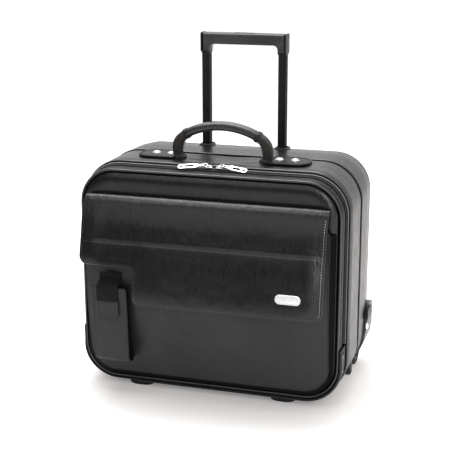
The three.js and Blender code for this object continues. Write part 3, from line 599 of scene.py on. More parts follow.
LEATHER = leather("leather_panel", 0.0095, 0.30, streak=0.20, coat=0.45)
FLAP_LEATHER = leather("leather_flap", 0.0095, 0.31, streak=0.26, coat=0.3)
# Paler than the panel's leather: partly the pockets' own smoother leather, partly painted light standing for
# the white floor's bounce on the lower front.
POCKET_LEATHER_AND_BOUNCE = leather("leather_pocket_and_painted_bounce", 0.028, 0.42, streak=0.08, grain=0.03)
BAND_LEATHER = leather("leather_band", 0.009, 0.34, streak=0.18, grain=0.05, coat=0.2, shine=0.4)
TRIM_LEATHER = leather("leather_trim", 0.010, 0.38, streak=0.12, grain=0.05, shine=0.3)
# Painted shade: the pockets' gussets are near black and dull, standing for the shadow in the gaps beside the
# pockets.
GUSSET_SHADE_LEATHER = leather("leather_gusset_painted_shade", 0.004, 0.5, streak=0.2, grain=0.05, shine=0.14)
GRIP_LEATHER = leather("leather_grip", 0.03, 0.28, streak=0.06, grain=0.03, coat=0.6)
PIPING = leather("piping_vinyl", 0.022, 0.20, streak=0.03, grain=0.02, coat=1.0)
DARK_PIPING = leather("piping_dark", 0.012, 0.34, streak=0.05, grain=0.02)
THREAD_PITCH = 0.0006
THREAD = woven("thread", 0.16, THREAD_PITCH, (0, 2), 0.5, 0.1)
# Painted highlight: the flap's thread made pale for the stitches along its right-hand edge, where light
# catches them.
LIT_EDGE_THREAD = woven("thread_painted_highlight", 0.60, THREAD_PITCH, (0, 2), 0.5, 0.1)
DARK_THREAD = woven("thread_dark", 0.045, THREAD_PITCH, (0, 2), 0.6, 0.1)
LINING = woven("lining_cloth", 0.012, 0.0011, (0, 2), 0.85, 0.15)
TAPE = woven("zip_tape_cloth", 0.011, 0.0013, (0, 1), 0.8, 0.25)
WEBBING = woven("webbing", 0.055, 0.0036, (1, 2), 0.85, 0.9, warm=0.06, twill=True)
ELASTIC = woven("elastic", 0.006, 0.0013, (0, 2), 0.9, 0.3)
GUARD = moulded("guard_plastic", 0.022, 0.42)
PLASTIC = moulded("black_plastic", 0.014, 0.38)
HOUSING = moulded("housing_plastic", 0.06, 0.33)
GRIP_PLASTIC = moulded("grip_plastic", 0.045, 0.32, texture=0.03)
RUBBER = moulded("rubber", 0.010, 0.7, texture=0.1, wear=0.3)
TYRE = moulded("tyre_rubber", 0.013, 0.62, texture=0.08, wear=0.3)
TUBE = anodised("anodised_tube", 0.014)
# Painted shade: a darker, duller copy of the tube finish for the tubes' sideways faces, so they read darker
# than their fronts.
TUBE_SIDE_SHADE = anodised("tube_side_painted_shade", 0.003, 0.6)
STEEL = metal("steel", 0.42, 0.30, brushed=0)
CHROME = metal("chrome", 0.95, 0.16, metallic=0.8)
COIL = moulded("zip_coil", 0.16, 0.4, texture=0.0, warm=0.04)
BADGE = metal("badge_metal", 0.92, 0.30, brushed=0, metallic=0.35)
# ---------------------------------------------------------------- front lid
CUSHION = 17.0  # how far in from its edge the panel's padding has risen
def panel_face(inset):
    """How far the padded front panel stands out at a distance in from its edge."""
    t = min(max(inset / CUSHION, 0.0), 1.0)
    return 5.2 * math.sqrt(1 - (1 - t) ** 2) ** 1.15 + 0.8 * min(inset / 60.0, 1.0)


def make_front_panel():
    insets = [0, 0.15, 0.5, 1.1, 1.9, 2.9, 4.2, 5.8, 7.6, 9.6, 12, 14.5, CUSHION, 20, 25, 32, 42, 58, 80,
              105, 135, 160]
    rings = [ring_at(4.5, 1.0), ring_at(2.0, 1.0), ring_at(0.8, 0.6)]
    for inset in insets:
        ring = ring_at(0.2 - panel_face(inset), -inset)
        for p in ring:
            p[1] += 0.25 * fbm(p[0], 0, p[2], 0.012, 3.0) * min(inset / 20.0, 1.0)
        rings.append(ring)
    new_object("front_panel_skin", *capped(rings), LEATHER, "lid", "leather", ["front_panel"])


def bead_ring(name, y, offset, radius, body, replaces=()):
    """Piping all round the case."""
    bead = tube_along(ring_at(y, offset), radius, 10, closed=True, up=(0, 1, 0))
    return new_object(name, *bead, PIPING, body, "piping", replaces)


def kept_part(path, keep):
    """The one run of a closed path where keep is true."""
    good = [bool(keep(p)) for p in path]
    start = next(i for i in range(len(path)) if good[i] and not good[i - 1])
    out = []
    for k in range(len(path)):
        p = path[(start + k) % len(path)]
        if not good[(start + k) % len(path)]:
            break
        out.append(p)
    return np.array(out)


def make_lid_edge():
    bead_ring("front_piping_bead", -0.2, 4.2, 2.1, "lid", ["front_piping"])
    outer = [(1.6, 2.6), (1.9, 4.4), (3.4, 6.2), (6.5, 6.9), (10, 6.2), (11.5, 5.9), (13, 6.3), (16.5, 6.9),
             (19.2, 6.6), (20.0, 5.6), (20.0, 2.6)]
    rings = [ring_at(y, o) for y, o in outer]
    new_object("lid_rim_skin", *skin(rings, close=True), TRIM_LEATHER, "lid", "leather", ["lid_rim"])
    liner = [(3.0, 2.4), (19.5, 2.4), (19.5, 1.6), (3.0, 1.6)]
    new_object("lid_lining", *skin([ring_at(y, o) for y, o in liner], close=True), LINING, "lid", "lining")
    path = resample(outline(1.3)[0], 240, closed=True)
    quilt = cut_sheet(path, lambda u, v, h: np.stack([u, 5.2 + h, v], 1), 0.9, 12.0,
                      extra=lambda u, v, d: -0.5 * np.cos(u / 9.0) * np.cos(v / 9.0))
    new_object("lid_board_lining", *quilt, LINING, "lid", "lining")


# ---------------------------------------------------------------- zip
def above_guard(clear):
    return lambda p: p[2] > GUARD_TOP + clear


def swept_strip(section, keep, wave=None):
    """A closed (y, offset) section carried along the part of the outline that keep picks."""
    return strip([kept_part(ring_at(y, offset, 0.0, wave), keep) for y, offset in section])


def tape_band(name, profile, body, node):
    new_object(name, *swept_strip(profile, above_guard(2.5)), TAPE, body, "zip_tape", [node])


def ribbed(y0, y1, offset0, offset1, under, ribs=2, depth=0.35):
    """A tape's section: its outer face in shallow ribs from y0 to y1, and its flat underside."""
    outer = []
    for t in np.linspace(0, 1, ribs * 4 + 1):
        dip = depth * 0.5 * (1 - math.cos(2 * math.pi * ribs * t))
        outer.append((y0 + (y1 - y0) * t, offset0 + (offset1 - offset0) * t - dip))
    return outer + [(y1, under), (y0, under)]


COIL_PITCH = 1.9


def make_zip():
    tape_band("zip_tape_lid_cloth", ribbed(20.4, ZIP_Y - 1.9, 7.6, 9.4, 6.6), "lid", "zip_tape_lid")
    tape_band("zip_tape_case_cloth", ribbed(ZIP_Y + 1.9, 34.9, 9.6, 10.2, 7.4), "case", "zip_tape_case")
    for side, body in ((-1, "lid"), (1, "case")):
        p, n = outline(9.9)
        still = np.zeros(len(p))
        ring = np.stack([p[:, 0], still, p[:, 1], n[:, 0], still, n[:, 1]], 1)
        both = kept_part(ring, above_guard(4))
        path = resample(both, int(arc_lengths(both[:, :3])[-1] / COIL_PITCH))
        parts = []
        for q in path:
            centre, up = q[:3], q[3:] / np.linalg.norm(q[3:])
            along = np.cross(up, (0, 1, 0))
            centre = centre + along * (COIL_PITCH / 4) * side
            rings = []
            for y, size in ((0.35, 0.5), (0.75, 0.95), (1.6, 1.0), (2.6, 0.8), (3.1, 0.45)):
                c = centre + np.array([0, ZIP_Y + side * (y - 0.9), 0]) + up * (0.35 if y < 2 else 0.05)
                rings.append(c + 0.62 * size * circle(6, along, up))
            parts.append(capped(rings))
        new_object("zip_coil_" + body, *merged(parts), COIL, body, "zip_tape")


# ---------------------------------------------------------------- the case's bands
HANDLE_Y = low("handle_grip").y - Y_SHIFT + 11


def soft_shape(seed, amount=0.5):
    """Slow unevenness of leather over board, and a shallow pucker in the top between the handle's pads."""
    def wave(x, y, z):
        value = amount * fbm(x, y, z, 0.011, seed) + 0.35 * amount * fbm(x, y, z, 0.04, seed + 5)
        if z > TOP:
            middle = HANDLE_Y + 3
            front = y < middle
            reach = math.hypot(x / 68.0, (y - middle) / (27.0 if front else 40.0))
            if reach < 1:
                value -= 3.7 * (1 - reach ** (5 if front else 2.2))
                value += 0.8 * math.exp(-((x + 16 - 0.5 * (y - middle)) / 8.0) ** 2) * (1 - reach)
                value -= 0.7 * math.exp(-((x - 24 + 0.4 * (y - middle)) / 6.0) ** 2) * (1 - reach)
            elif reach < 1.35 and front:
                value += 0.5 * math.sin(math.pi * (reach - 1) / 0.35)
        return value
    return wave


def band_solid(profile, inner, wave, lift_at=lambda y: 0.0):
    rings = [ring_at(y, o, lift_at(y), wave) for y, o in profile]
    rings += [ring_at(y, inner, lift_at(y)) for y in np.linspace(profile[-1][0], profile[0][0], 8)]
    return skin(rings, close=True)


def make_main_band():
    stations = [(36.6, 9.4), (36.6, 10.4), (37.4, 11.9), (38.8, 13.0), (41, 13.6), (43.5, 13.4), (45.6, 12.7),
                (46.6, 12.1), (47.6, 12.3), (49.5, 12.9), (54, 13.1)]
    stations += [(y, 13.1) for y in np.arange(56.5, 115, 2.6)]
    stations += [(116, 13.0), (118.5, 12.6), (120.5, 11.9), (121.8, 11.0), (122.6, 9.8)]
    verts, faces = band_solid(stations, 9.0, soft_shape(1.0, 0.45))
    new_object("main_band_skin", verts, faces, BAND_LEATHER, "case", "leather", ["main_band"])
    bead_ring("band_front_piping", 35.9, 11.6, 1.8, "case")
    rings = [ring_at(y, 8.9) for y in np.linspace(37, 122, 14)]
    rings += [ring_at(y, 8.4) for y in np.linspace(122, 37, 14)]
    new_object("main_band_lining", *skin(rings, close=True), LINING, "case", "lining")


REAR_LIFT = low("back_panel").z - (BOTTOM - (CREST - 0.7 - 4.5))
REAR_BEND = 172.0


def rear_lift(y):
    t = min(max((y - REAR_BEND) / (REAR_Y - REAR_BEND), 0.0), 1.0)
    return REAR_LIFT * t * (2 - t) if t < 1 else REAR_LIFT


WELL_TOP = 67.3


def well_cutters():
    """Boxes over the wheels, which the rear band and the back panel are cut clear of."""
    boxes = []
    for side, sign in SIDES:
        lo, hi = low("wheel_housing_" + side), high("wheel_housing_" + side)
        x0 = (lo.x if sign > 0 else hi.x) - sign * 0.3
        x1 = x0 + sign * 80
        y0, y1 = lo.y - Y_SHIFT - 0.3, BACK_Y + 40
        z0, z1 = -10.0, WELL_TOP
        v = [(x, y, z) for x in sorted((x0, x1)) for y in (y0, y1) for z in (z0, z1)]
        f = [(0, 1, 3, 2), (4, 6, 7, 5), (0, 4, 5, 1), (2, 3, 7, 6), (0, 2, 6, 4), (1, 5, 7, 3)]
        boxes.append((v, f))
    return merged(boxes)


def cut_away(obj, cutter):
    """Takes cutter's (verts, faces) out of the object, for good, and shades it again."""
    mesh = bpy.data.meshes.new("cutter")
    mesh.from_pydata([tuple(v) for v in at(cutter[0])], [], cutter[1])
    bm = bmesh.new()
    bm.from_mesh(mesh)
    bmesh.ops.recalc_face_normals(bm, faces=bm.faces)
    bm.to_mesh(mesh)
    bm.free()
    tool = bpy.data.objects.new("cutter", mesh)
    bpy.context.scene.collection.objects.link(tool)
    modifier = obj.modifiers.new("cut", "BOOLEAN")
    modifier.operation = "DIFFERENCE"
    modifier.solver = "EXACT"
    modifier.object = tool
    dg = bpy.context.evaluated_depsgraph_get()
    made = bpy.data.meshes.new_from_object(obj.evaluated_get(dg))
    obj.modifiers.remove(modifier)
    obj.data = made
    bpy.data.objects.remove(tool)
    made.shade_smooth()
    sharpen(obj, 50)


def make_rear_band():
    stations = [(123.4, 9.4), (123.9, 10.4), (125.2, 11.4), (127.5, 12.2), (131, 12.7)]
    stations += [(y, 12.8) for y in np.arange(136, REAR_BEND, 5)]
    stations += [(y, 12.8 - 4.0 * ((y - REAR_BEND) / 50.0) ** 1.6) for y in np.arange(174, 219, 5)]
    stations += [(219.5, 8.7), (221.5, 8.2)]
    verts, faces = band_solid(stations, 8.0, soft_shape(2.0, 0.4), rear_lift)
    band = new_object("rear_band_skin", verts, faces, BAND_LEATHER, None, "leather")
    cut_away(band, well_cutters())
    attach(band, "case")
    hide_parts("rear_band")
    bead_ring("seam_piping", 125.2, 12.8, 1.6, "case")


def make_back_panel():
    profile = [(222.2, 6.5), (222.3, 8.2), (223.4, 8.8), (225.5, 8.4), (227.5, 6.6), (228.9, 3.6),
               (229.6, 0.0)]
    outer = [ring_at(y, o, REAR_LIFT) for y, o in profile]
    for inset in (4, 9, 12, 15, 22, 34, 52, 80, 110, 140):
        groove = 0.9 * math.exp(-((inset - 12) / 1.6) ** 2)
        outer.append(ring_at(min(230.1, 229.6 + inset * 0.05) - groove, -inset, REAR_LIFT))
    inner = [ring_at(226.6, -inset, REAR_LIFT) for inset in (150, 100, 50, 14)]
    inner.append(ring_at(222.3, -13, REAR_LIFT))
    panel = new_object("back_panel_skin", *capped(inner + outer), LEATHER, None, "leather")
    cut_away(panel, well_cutters())
    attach(panel, "case")
    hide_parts("back_panel")


# ---------------------------------------------------------------- moulded guard
GUARD_STEP_X = -126.0


def below(limit):
    return lambda p: p[2] < limit


def make_guard():
    base = [(-2.6, 8.0), (-2.5, 9.2), (-1.4, 10.0), (1.0, 10.3), (9.0, 10.3), (13.6, 10.2), (14.6, 9.6),
            (15.4, 8.9), (16.4, 8.8), (17.2, 9.6), (18.4, 9.9), (24.0, 9.9), (25.2, 9.5), (26.4, 9.9),
            (33.4, 9.8), (35.0, 9.2), (35.2, 8.4), (18, 8.2), (-1.5, 7.6)]

    def tucked(x, y, z):
        """On the side away from the strip the guard draws in towards its top."""
        return -1.9 * min(max((z - 45) / 30, 0.0), 1.0) if x < 0 else 0.0

    verts, faces = swept_strip(base, below(GUARD_TOP), tucked)
    new_object("bottom_guard_base", verts, faces, GUARD, "case", "moulding", ["bottom_guard"], flat_angle=55)
    over = [(-3.4, 9.4), (-3.2, 10.6), (-1.8, 11.5), (1.5, 11.8), (8, 11.8), (8.9, 11.1), (9.8, 11.8),
            (15, 11.7), (16.6, 11.0), (17.0, 9.9), (12, 9.7), (-1.0, 9.5)]

    def keep(p):
        return (p[2] < GUARD_TOP - 5 and p[0] > HALF - 30) or (p[2] < BOTTOM + 20 and p[0] > GUARD_STEP_X)

    new_object("bottom_guard_strip", *swept_strip(over, keep), GUARD, "case", "moulding", flat_angle=55)
    parts = []
    for side, offset in ((1, 11.6), (-1, 8.3)):
        for drop in (12, 36):
            parts.append(dome((side * (HALF + offset), 5, GUARD_TOP - drop), (side, 0, 0), 2.4, 0.9))
    new_object("guard_screws", *merged(parts), STEEL, "case", "steel")


def dome(centre, axis, radius, height):
    """A low domed screw head with a dip in its middle."""
    shape = [(1.0, -0.6), (1.0, 0.12), (0.95, 0.35), (0.82, 0.62), (0.62, 0.84), (0.4, 0.96), (0.22, 1.0),
             (0.18, 0.6), (0.02, 0.58)]
    return turned([(height * h, radius * r) for r, h in shape], centre, axis, 20)


# ---------------------------------------------------------------- organiser pocket
POCKET_LO, POCKET_HI = low("front_pocket"), high("front_pocket")
POCKET_HALF = POCKET_HI.x
POCKET_SHAPE = np.array([  # height, how far its sides stand out, and how much more its middle does
    (28, 7.2, 1), (45, 7.6, 8), (70, 9.5, 17), (100, 14, 23), (140, 20, 27),
    (175, 23.5, 27), (230, 24, 21), (270, 22, 12), (296, 20, 6)], float)
POCKET_WALL = 2.2


def pocket_out(x, z):
    """How far in front of the panel's edge the pocket's face is."""
    side = np.interp(z, POCKET_SHAPE[:, 0], POCKET_SHAPE[:, 1])
    swell = np.interp(z, POCKET_SHAPE[:, 0], POCKET_SHAPE[:, 2])
    t = np.clip(np.asarray(x) / POCKET_HALF, -1, 1)
    return side + swell * (1 - t * t)


def smooth_pocket(x, z):
    return sum(pocket_out(x, z + d) for d in (-9, -4.5, 0, 4.5, 9)) * 0.2


def place_pocket(u, v, h):
    u, v, h = as_arrays(u, v, h)
    dx = (smooth_pocket(u + 1, v) - smooth_pocket(u - 1, v)) / 2
    dz = (smooth_pocket(u, v + 1) - smooth_pocket(u, v - 1)) / 2
    normal = np.stack([-dx, -np.ones_like(dx), -dz], 1)
    normal /= np.linalg.norm(normal, axis=1)[:, None]
    return np.stack([u, -smooth_pocket(u, v), v], 1) + normal * (h - POCKET_WALL / 2)[:, None]


def grid_noise(u, v, scale, seed, amount):
    return np.array([amount * fbm(a, seed, b, scale, seed) for a, b in zip(np.ravel(u), np.ravel(v))])


def pocket_outline():
    radius = BOTTOM_RADIUS - (HALF - POCKET_HALF)
    return rounded_box(-POCKET_HALF, POCKET_LO.z, POCKET_HALF, POCKET_HI.z, 3.0, radius, 2)


def make_front_pocket():
    path = pocket_outline()
    verts, faces = cut_sheet(path, place_pocket, POCKET_WALL, 5.0,
                             extra=lambda u, v, d: grid_noise(u, v, 0.009, 7.0, 0.8) * np.clip(d / 25, 0, 1))
    new_object("front_pocket_face", verts, faces, POCKET_LEATHER_AND_BOUNCE, "lid", "smooth_leather",
               ["front_pocket"])
    edge = [p for p in inset_path(path, -0.3) if p[1] < POCKET_HI.z - 3]
    start = next(i for i in range(len(edge)) if np.linalg.norm(edge[i] - edge[i - 1]) > 20)
    edge = np.array(edge[start:] + edge[:start])
    bead = place_pocket(edge[:, 0], edge[:, 1], 0.0)
    new_object("front_pocket_piping", *tube_along(bead, 1.25, 8, up=(0, 1, 0)), DARK_PIPING, "lid", "piping")
    rings = []
    rows = 13
    for i in range(rows):
        t = i / (rows - 1)
        y = bead[:, 1] * (1 - t) + (-PANEL_FRONT + 1.6) * t
        depth = np.clip((-bead[:, 1] - PANEL_FRONT) / 14.0, 0, 1)
        inward = 4.6 * math.sin(math.pi * t) ** 0.8 * depth
        # The gusset's foot flares 7.6 mm out past the pocket's edge, so its painted-shade leather also covers
        # the panel's edge beside the pocket.
        base = inset_path_open(edge, 1.0 - 8.6 * t)
        pleat = 0.5 * math.sin(t * 6 * math.pi) * depth
        p = base + inset_direction(edge) * (inward + pleat)[:, None]
        rings.append(np.stack([p[:, 0], y, p[:, 1]], 1))
    inwards = inset_direction(edge)
    inwards = np.stack([inwards[:, 0], np.zeros(len(edge)), inwards[:, 1]], 1)
    verts, faces = strip(rings + [r + inwards for r in reversed(rings)])
    new_object("front_pocket_gusset_shade", verts, faces, GUSSET_SHADE_LEATHER, "lid", "smooth_leather")
    hem = np.array([(x, POCKET_HI.z - 4.5) for x in np.linspace(-POCKET_HALF + 6, POCKET_HALF - 6, 120)])
    verts, faces = stitches_on(hem, place_pocket, POCKET_WALL / 2, closed=False)
    new_object("front_pocket_stitches", verts, faces, DARK_THREAD, "lid", "smooth_leather")


def inset_direction(path):
    """Unit steps square to an open path, on its left."""
    t = np.gradient(path, axis=0)
    t /= np.maximum(np.linalg.norm(t, axis=1)[:, None], 1e-9)
    return np.stack([-t[:, 1], t[:, 0]], 1)


def inset_path_open(path, distance):
    return path + inset_direction(path) * distance


# ---------------------------------------------------------------- flap
FLAP = Profile([(-8.0, 329.2), (-11, 331.2), (-15.5, 331.8), (-21, 328.6), (-27, 321.6), (-34, 308),
                (-40, 292), (-46, 269), (-53, 246), (-57, 230), (-62, 203), (-65.5, 182),
                (-66.5, low("flap").z)], 160)
FLAP_THICK = 3.0
FLAP_HALF = high("flap").x
FLAP_STEP_X = -106.0
FLAP_LENGTH = FLAP.length


def s_at_height(z):
    """How far down the flap's face a height is."""
    start = int(np.argmax(FLAP.path[:, 1]))
    return float(np.interp(-z, -FLAP.path[start:, 1], FLAP.s[start:]))


FLAP_SHORT = s_at_height(225.0)
FLAP_SEAM = s_at_height(264.5)


def place_flap(u, v, h):
    """u is x, and v runs up from the lower edge."""
    u, v, h = as_arrays(u, v, h)
    s = FLAP_LENGTH - v
    lower = np.clip((s - 40) / 120, 0, 1)
    ends = np.clip((np.abs(u) - (FLAP_HALF - 46)) / 46, 0, 1)
    bow = 1.2 * lower * np.cos(u / 95.0) - 5.5 * (0.25 + 0.75 * lower) * ends ** 2.2
    return FLAP.place(u, s, h - FLAP_THICK / 2 + bow)


def flap_outline():
    short = FLAP_LENGTH - FLAP_SHORT
    return rounded_polygon([
        (FLAP_STEP_X, 0, 14), (FLAP_HALF, 0, 15), (FLAP_HALF, FLAP_LENGTH, 3), (-FLAP_HALF, FLAP_LENGTH, 3),
        (-FLAP_HALF, short, 14), (FLAP_STEP_X, short, 11)], 2.5)


def bell(x, width):
    return np.exp(-(x / width) ** 2)


FLAP_MARGIN = 4.2  # from the flap's edge to its stitches
SEAM_STITCHES = 4.2  # from the seam down to the stitches below it


def flap_relief(u, v, d):
    """The seam's step, the stitched margin and the soft unevenness of the face."""
    s = FLAP_LENGTH - v
    below_seam = s - FLAP_SEAM
    step = np.clip(below_seam / 0.9, 0, 1)
    seam = 0.75 * step * np.exp(-np.clip(below_seam, 0, None) / 26.0) + 0.25 * step
    valley = -0.55 * bell(below_seam + 1.2, 1.3) - 0.35 * bell(below_seam - SEAM_STITCHES, 1.2)
    margin = -0.40 * bell(d - FLAP_MARGIN, 1.1) + 0.30 * bell(d - 8.0, 3.5)
    soft = grid_noise(u, v, 0.010, 11.0, 0.9) + grid_noise(u, v, 0.045, 13.0, 0.22)
    near_end = 1.7 * bell(FLAP_HALF - np.abs(u) - 22, 12.0) * np.clip((s - 20) / 60, 0, 1)
    return seam + valley + margin + (soft * np.clip(s / 60, 0.12, 1) + near_end) * np.clip(d / 14, 0, 1)


def make_flap():
    path = flap_outline()
    sheet = cut_sheet(path, place_flap, FLAP_THICK, 4.0, extra=flap_relief)
    flap = new_object("flap_leather", *sheet, FLAP_LEATHER, None, "leather")
    run = [p for p in inset_path(path, FLAP_MARGIN) if p[1] < FLAP_LENGTH - 24]
    start = next(i for i in range(len(run)) if np.linalg.norm(run[i] - run[i - 1]) > 40)
    run = np.array(run[start:] + run[:start])

    def on_face(d):
        return lambda u, v: FLAP_THICK / 2 + flap_relief(u, v, np.full(len(u), d)) - 0.05

    def row(line, d, radius):
        return stitches_on(line, place_flap, on_face(d), closed=False, length=2.7, gap=1.5, radius=radius)

    # The stitches along the flap's right-hand edge get the pale thread, a painted highlight.
    lit = run[:, 0] > FLAP_HALF - 6
    line = FLAP_LENGTH - FLAP_SEAM - SEAM_STITCHES
    seam = np.array([(x, line) for x in np.linspace(-FLAP_HALF + 6, FLAP_HALF - 6, 200)])
    rows = [row(run[~lit], FLAP_MARGIN, 0.5), row(seam, 30.0, 0.42)]
    thread = new_object("flap_stitches", *merged(rows), THREAD, None, "leather")
    edge = new_object("flap_edge_stitches_highlight", *row(run[lit], FLAP_MARGIN, 0.62), LIT_EDGE_THREAD, None, "leather")
    ends = ((0, (Y_SHIFT - 8.5) * MM, 0.3300), (0, (Y_SHIFT - 26.0) * MM, 0.3215))
    for piece in (flap, thread, edge):
        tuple(ends[0])
        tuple(ends[1])
        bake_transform(piece)
    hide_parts("flap")


def make_badge():
    cx, _, cz = middle("badge")
    w, _, h = half_size("badge")
    v0 = FLAP_LENGTH - s_at_height(cz)
    path = rounded_box(cx - w, v0 - h, cx + w, v0 + h, 1.0, h - 0.6)

    def place(u, v, height):
        return place_flap(u, v, np.asarray(height) + FLAP_THICK / 2 + 1.5)

    def relief(u, v, d):
        return 0.35 * bell(d - 0.9, 0.55) + 0.5 * np.clip(d / h, 0, 1) ** 0.7 - 0.25 * bell(d - 2.1, 0.5)

    verts, faces = cut_sheet(path, place, 1.4, 1.2, edge=0.6, extra=relief)
    new_object("badge_plate", verts, faces, BADGE, "flap", "badge", ["badge"])


# ---------------------------------------------------------------- phone pocket
PHONE_LO, PHONE_HI = low("phone_pocket"), high("phone_pocket")
PHONE_X0, PHONE_X1 = PHONE_LO.x, PHONE_HI.x
PHONE = Profile([(-53.0, PHONE_HI.z), (-52.2, 168), (-50.8, 140), (-49.4, 110), (-48.0, PHONE_LO.z + 20),
                 (-45.6, PHONE_LO.z + 8.5), (-40.0, PHONE_LO.z + 2.6), (-31.0, PHONE_LO.z + 0.2),
                 (-22.0, PHONE_LO.z - 0.4)], 90)
PHONE_LENGTH = PHONE.length
PHONE_WALL = 2.4


def place_phone(u, v, h):
    u, v, h = as_arrays(u, v, h)
    t = (u - (PHONE_X0 + PHONE_X1) / 2) / ((PHONE_X1 - PHONE_X0) / 2)
    return PHONE.place(u, PHONE_LENGTH - v, h - PHONE_WALL / 2 - 1.6 * np.clip(np.abs(t), 0, 1) ** 3)


def make_phone_pocket():
    x0, x1 = PHONE_X0 + 1.2, PHONE_X1 - 1.2
    path = rounded_box(x0, 0, x1, PHONE_LENGTH, 2.2, 3, 2)

    def creases(u, v, d):
        left = np.clip((x0 + 24 - u) / 24, 0, 1)
        tall = np.clip(v / 40, 0, 1)
        folds = 0.55 * np.sin((u - x0) * 0.62 + v * 0.012) * left * tall
        sag = grid_noise(u, v, 0.02, 17.0, 0.9)
        return (folds + sag) * np.clip(d / 4, 0, 1) - 0.3 * bell(d - 3.0, 0.9)

    sheet = cut_sheet(path, place_phone, PHONE_WALL, 2.6, extra=creases)
    new_object("phone_pocket_face", *sheet, POCKET_LEATHER_AND_BOUNCE, "lid", "smooth_leather", ["phone_pocket"])
    pieces, walls = [], []
    for x, sign in ((x0, -1), (x1, 1)):
        v = np.linspace(PHONE_LENGTH - 1, 3, 60)
        edge = place_phone(np.full(60, x), v, 0.0)
        pieces.append(tube_along(edge, 1.3, 8, up=(1, 0, 0)))
        foot = np.array([(x, -float(smooth_pocket(x, p[2])) - 0.6, p[2]) for p in edge])
        rings = []
        for t in np.linspace(0, 1, 11):
            p = edge * (1 - t) + foot * t
            depth = np.clip((foot[:, 1] - edge[:, 1]) / 24.0, 0, 1)
            tuck = 6.5 * math.sin(math.pi * t) ** 0.8 + 0.6 * math.sin(5 * math.pi * t)
            p[:, 0] -= sign * (1.0 + tuck * depth)
            rings.append(p)
        walls.append(strip(rings + [r - np.array((sign * 1.0, 0, 0)) for r in reversed(rings)]))
    top = place_phone(np.linspace(x0, x1, 24), np.full(24, PHONE_LENGTH - 0.4), 0.0)
    pieces.append(tube_along(top, 1.5, 8, up=(0, 1, 0)))
    new_object("phone_pocket_piping", *merged(pieces), DARK_PIPING, "lid", "piping")
    # The phone pocket's side walls take the same near-black painted-shade gusset leather.
    new_object("phone_pocket_gusset_shade", *merged(walls), GUSSET_SHADE_LEATHER, "lid", "smooth_leather")
    rows = []
    for x in (x0 + 3.0, x1 - 3.0):
        line = np.array([(x, v) for v in np.linspace(PHONE_LENGTH - 3, 18, 80)])
        rows.append(stitches_on(line, place_phone, PHONE_WALL / 2 - 0.25, closed=False,
                                length=2.2, gap=1.5, radius=0.36))
    new_object("phone_pocket_stitches", *merged(rows), DARK_THREAD, "lid", "smooth_leather")


def make_phone_strap():
    lo, hi = low("phone_strap"), high("phone_strap")
    tab_lo, tab_hi = low("phone_tab"), high("phone_tab")
    face = Profile([(-40.5, 209), (-41.5, 199), (-47.5, 195.2), (-54.6, 190.5), (-56.3, 182),
                    (-56.3, tab_hi.z - 4)], 48)

    def place(u, v, h):
        u, v, h = as_arrays(u, v, h)
        return face.place(u, face.length - v, h - 0.9)

    path = rounded_box(lo.x, 0, hi.x, face.length, 2.0, 0.8)
    sheet = cut_sheet(path, place, 1.8, 2.2, extra=lambda u, v, d: 0.22 * np.cos(u * 2 * math.pi / 3.0))
    new_object("phone_strap_elastic", *sheet, ELASTIC, "phone_strap", "elastic", ["phone_strap"])

    def tab_place(u, v, h):
        u, v, h = as_arrays(u, v, h)
        lift = 1.2 * np.clip((tab_lo.z + 12 - v) / 12, 0, 1) ** 2
        return np.stack([u, np.full(len(u), tab_lo.y - Y_SHIFT + 1.5) - h - lift, v], 1)

    def tab_relief(u, v, d):
        return 0.35 * np.clip(d / 8, 0, 1) - 0.3 * bell(d - 2.6, 0.8)

    path = rounded_box(tab_lo.x, tab_lo.z, tab_hi.x, tab_hi.z, 1.8, 9, 2)
    tab = cut_sheet(path, tab_place, 2.8, 2.0, extra=tab_relief)
    new_object("phone_tab_leather", *tab, POCKET_LEATHER_AND_BOUNCE, "phone_strap", "smooth_leather", ["phone_tab"])
    verts, faces = stitches_on(inset_path(path, 2.6), tab_place, 1.25, length=2.0, gap=1.3, radius=0.34)
    new_object("phone_tab_stitches", verts, faces, DARK_THREAD, "phone_strap", "smooth_leather")


# ---------------------------------------------------------------- carrying handle
GRIP_RISE, GRIP_HALF_SPAN = 16.0, 62.0
GRIP_RADIUS = (GRIP_HALF_SPAN ** 2 + GRIP_RISE ** 2) / (2 * GRIP_RISE)
GRIP_END_Z = TOP_Z + 39.5
GRIP_CENTRE_Z = GRIP_END_Z + GRIP_RISE - GRIP_RADIUS
GRIP_ANGLE = math.asin(GRIP_HALF_SPAN / GRIP_RADIUS)


def squircle(count, power):
    """Points round a square with soft corners, within -1 to 1."""
    a = np.linspace(0, 2 * math.pi, count, endpoint=False)
    c, s = np.cos(a), np.sin(a)
    return np.stack([np.sign(c) * np.abs(c) ** (2 / power), np.sign(s) * np.abs(s) ** (2 / power)], 1)


def grip_ring(angle, half_w, half_h, relief=None):
    """The grip's section at an angle along its arch; relief(w, h) adds to its height."""
    out = np.array((math.sin(angle), 0, math.cos(angle)))
    centre = np.array((0, HANDLE_Y, GRIP_CENTRE_Z)) + out * GRIP_RADIUS
    points = []
    for w, h in squircle(72, 3.0):
        extra = relief(w, h) if relief else 0.0
        points.append(centre + np.array((0, 1.0, 0)) * (w * half_w) + out * (h * (half_h + extra)))
    return np.array(points)


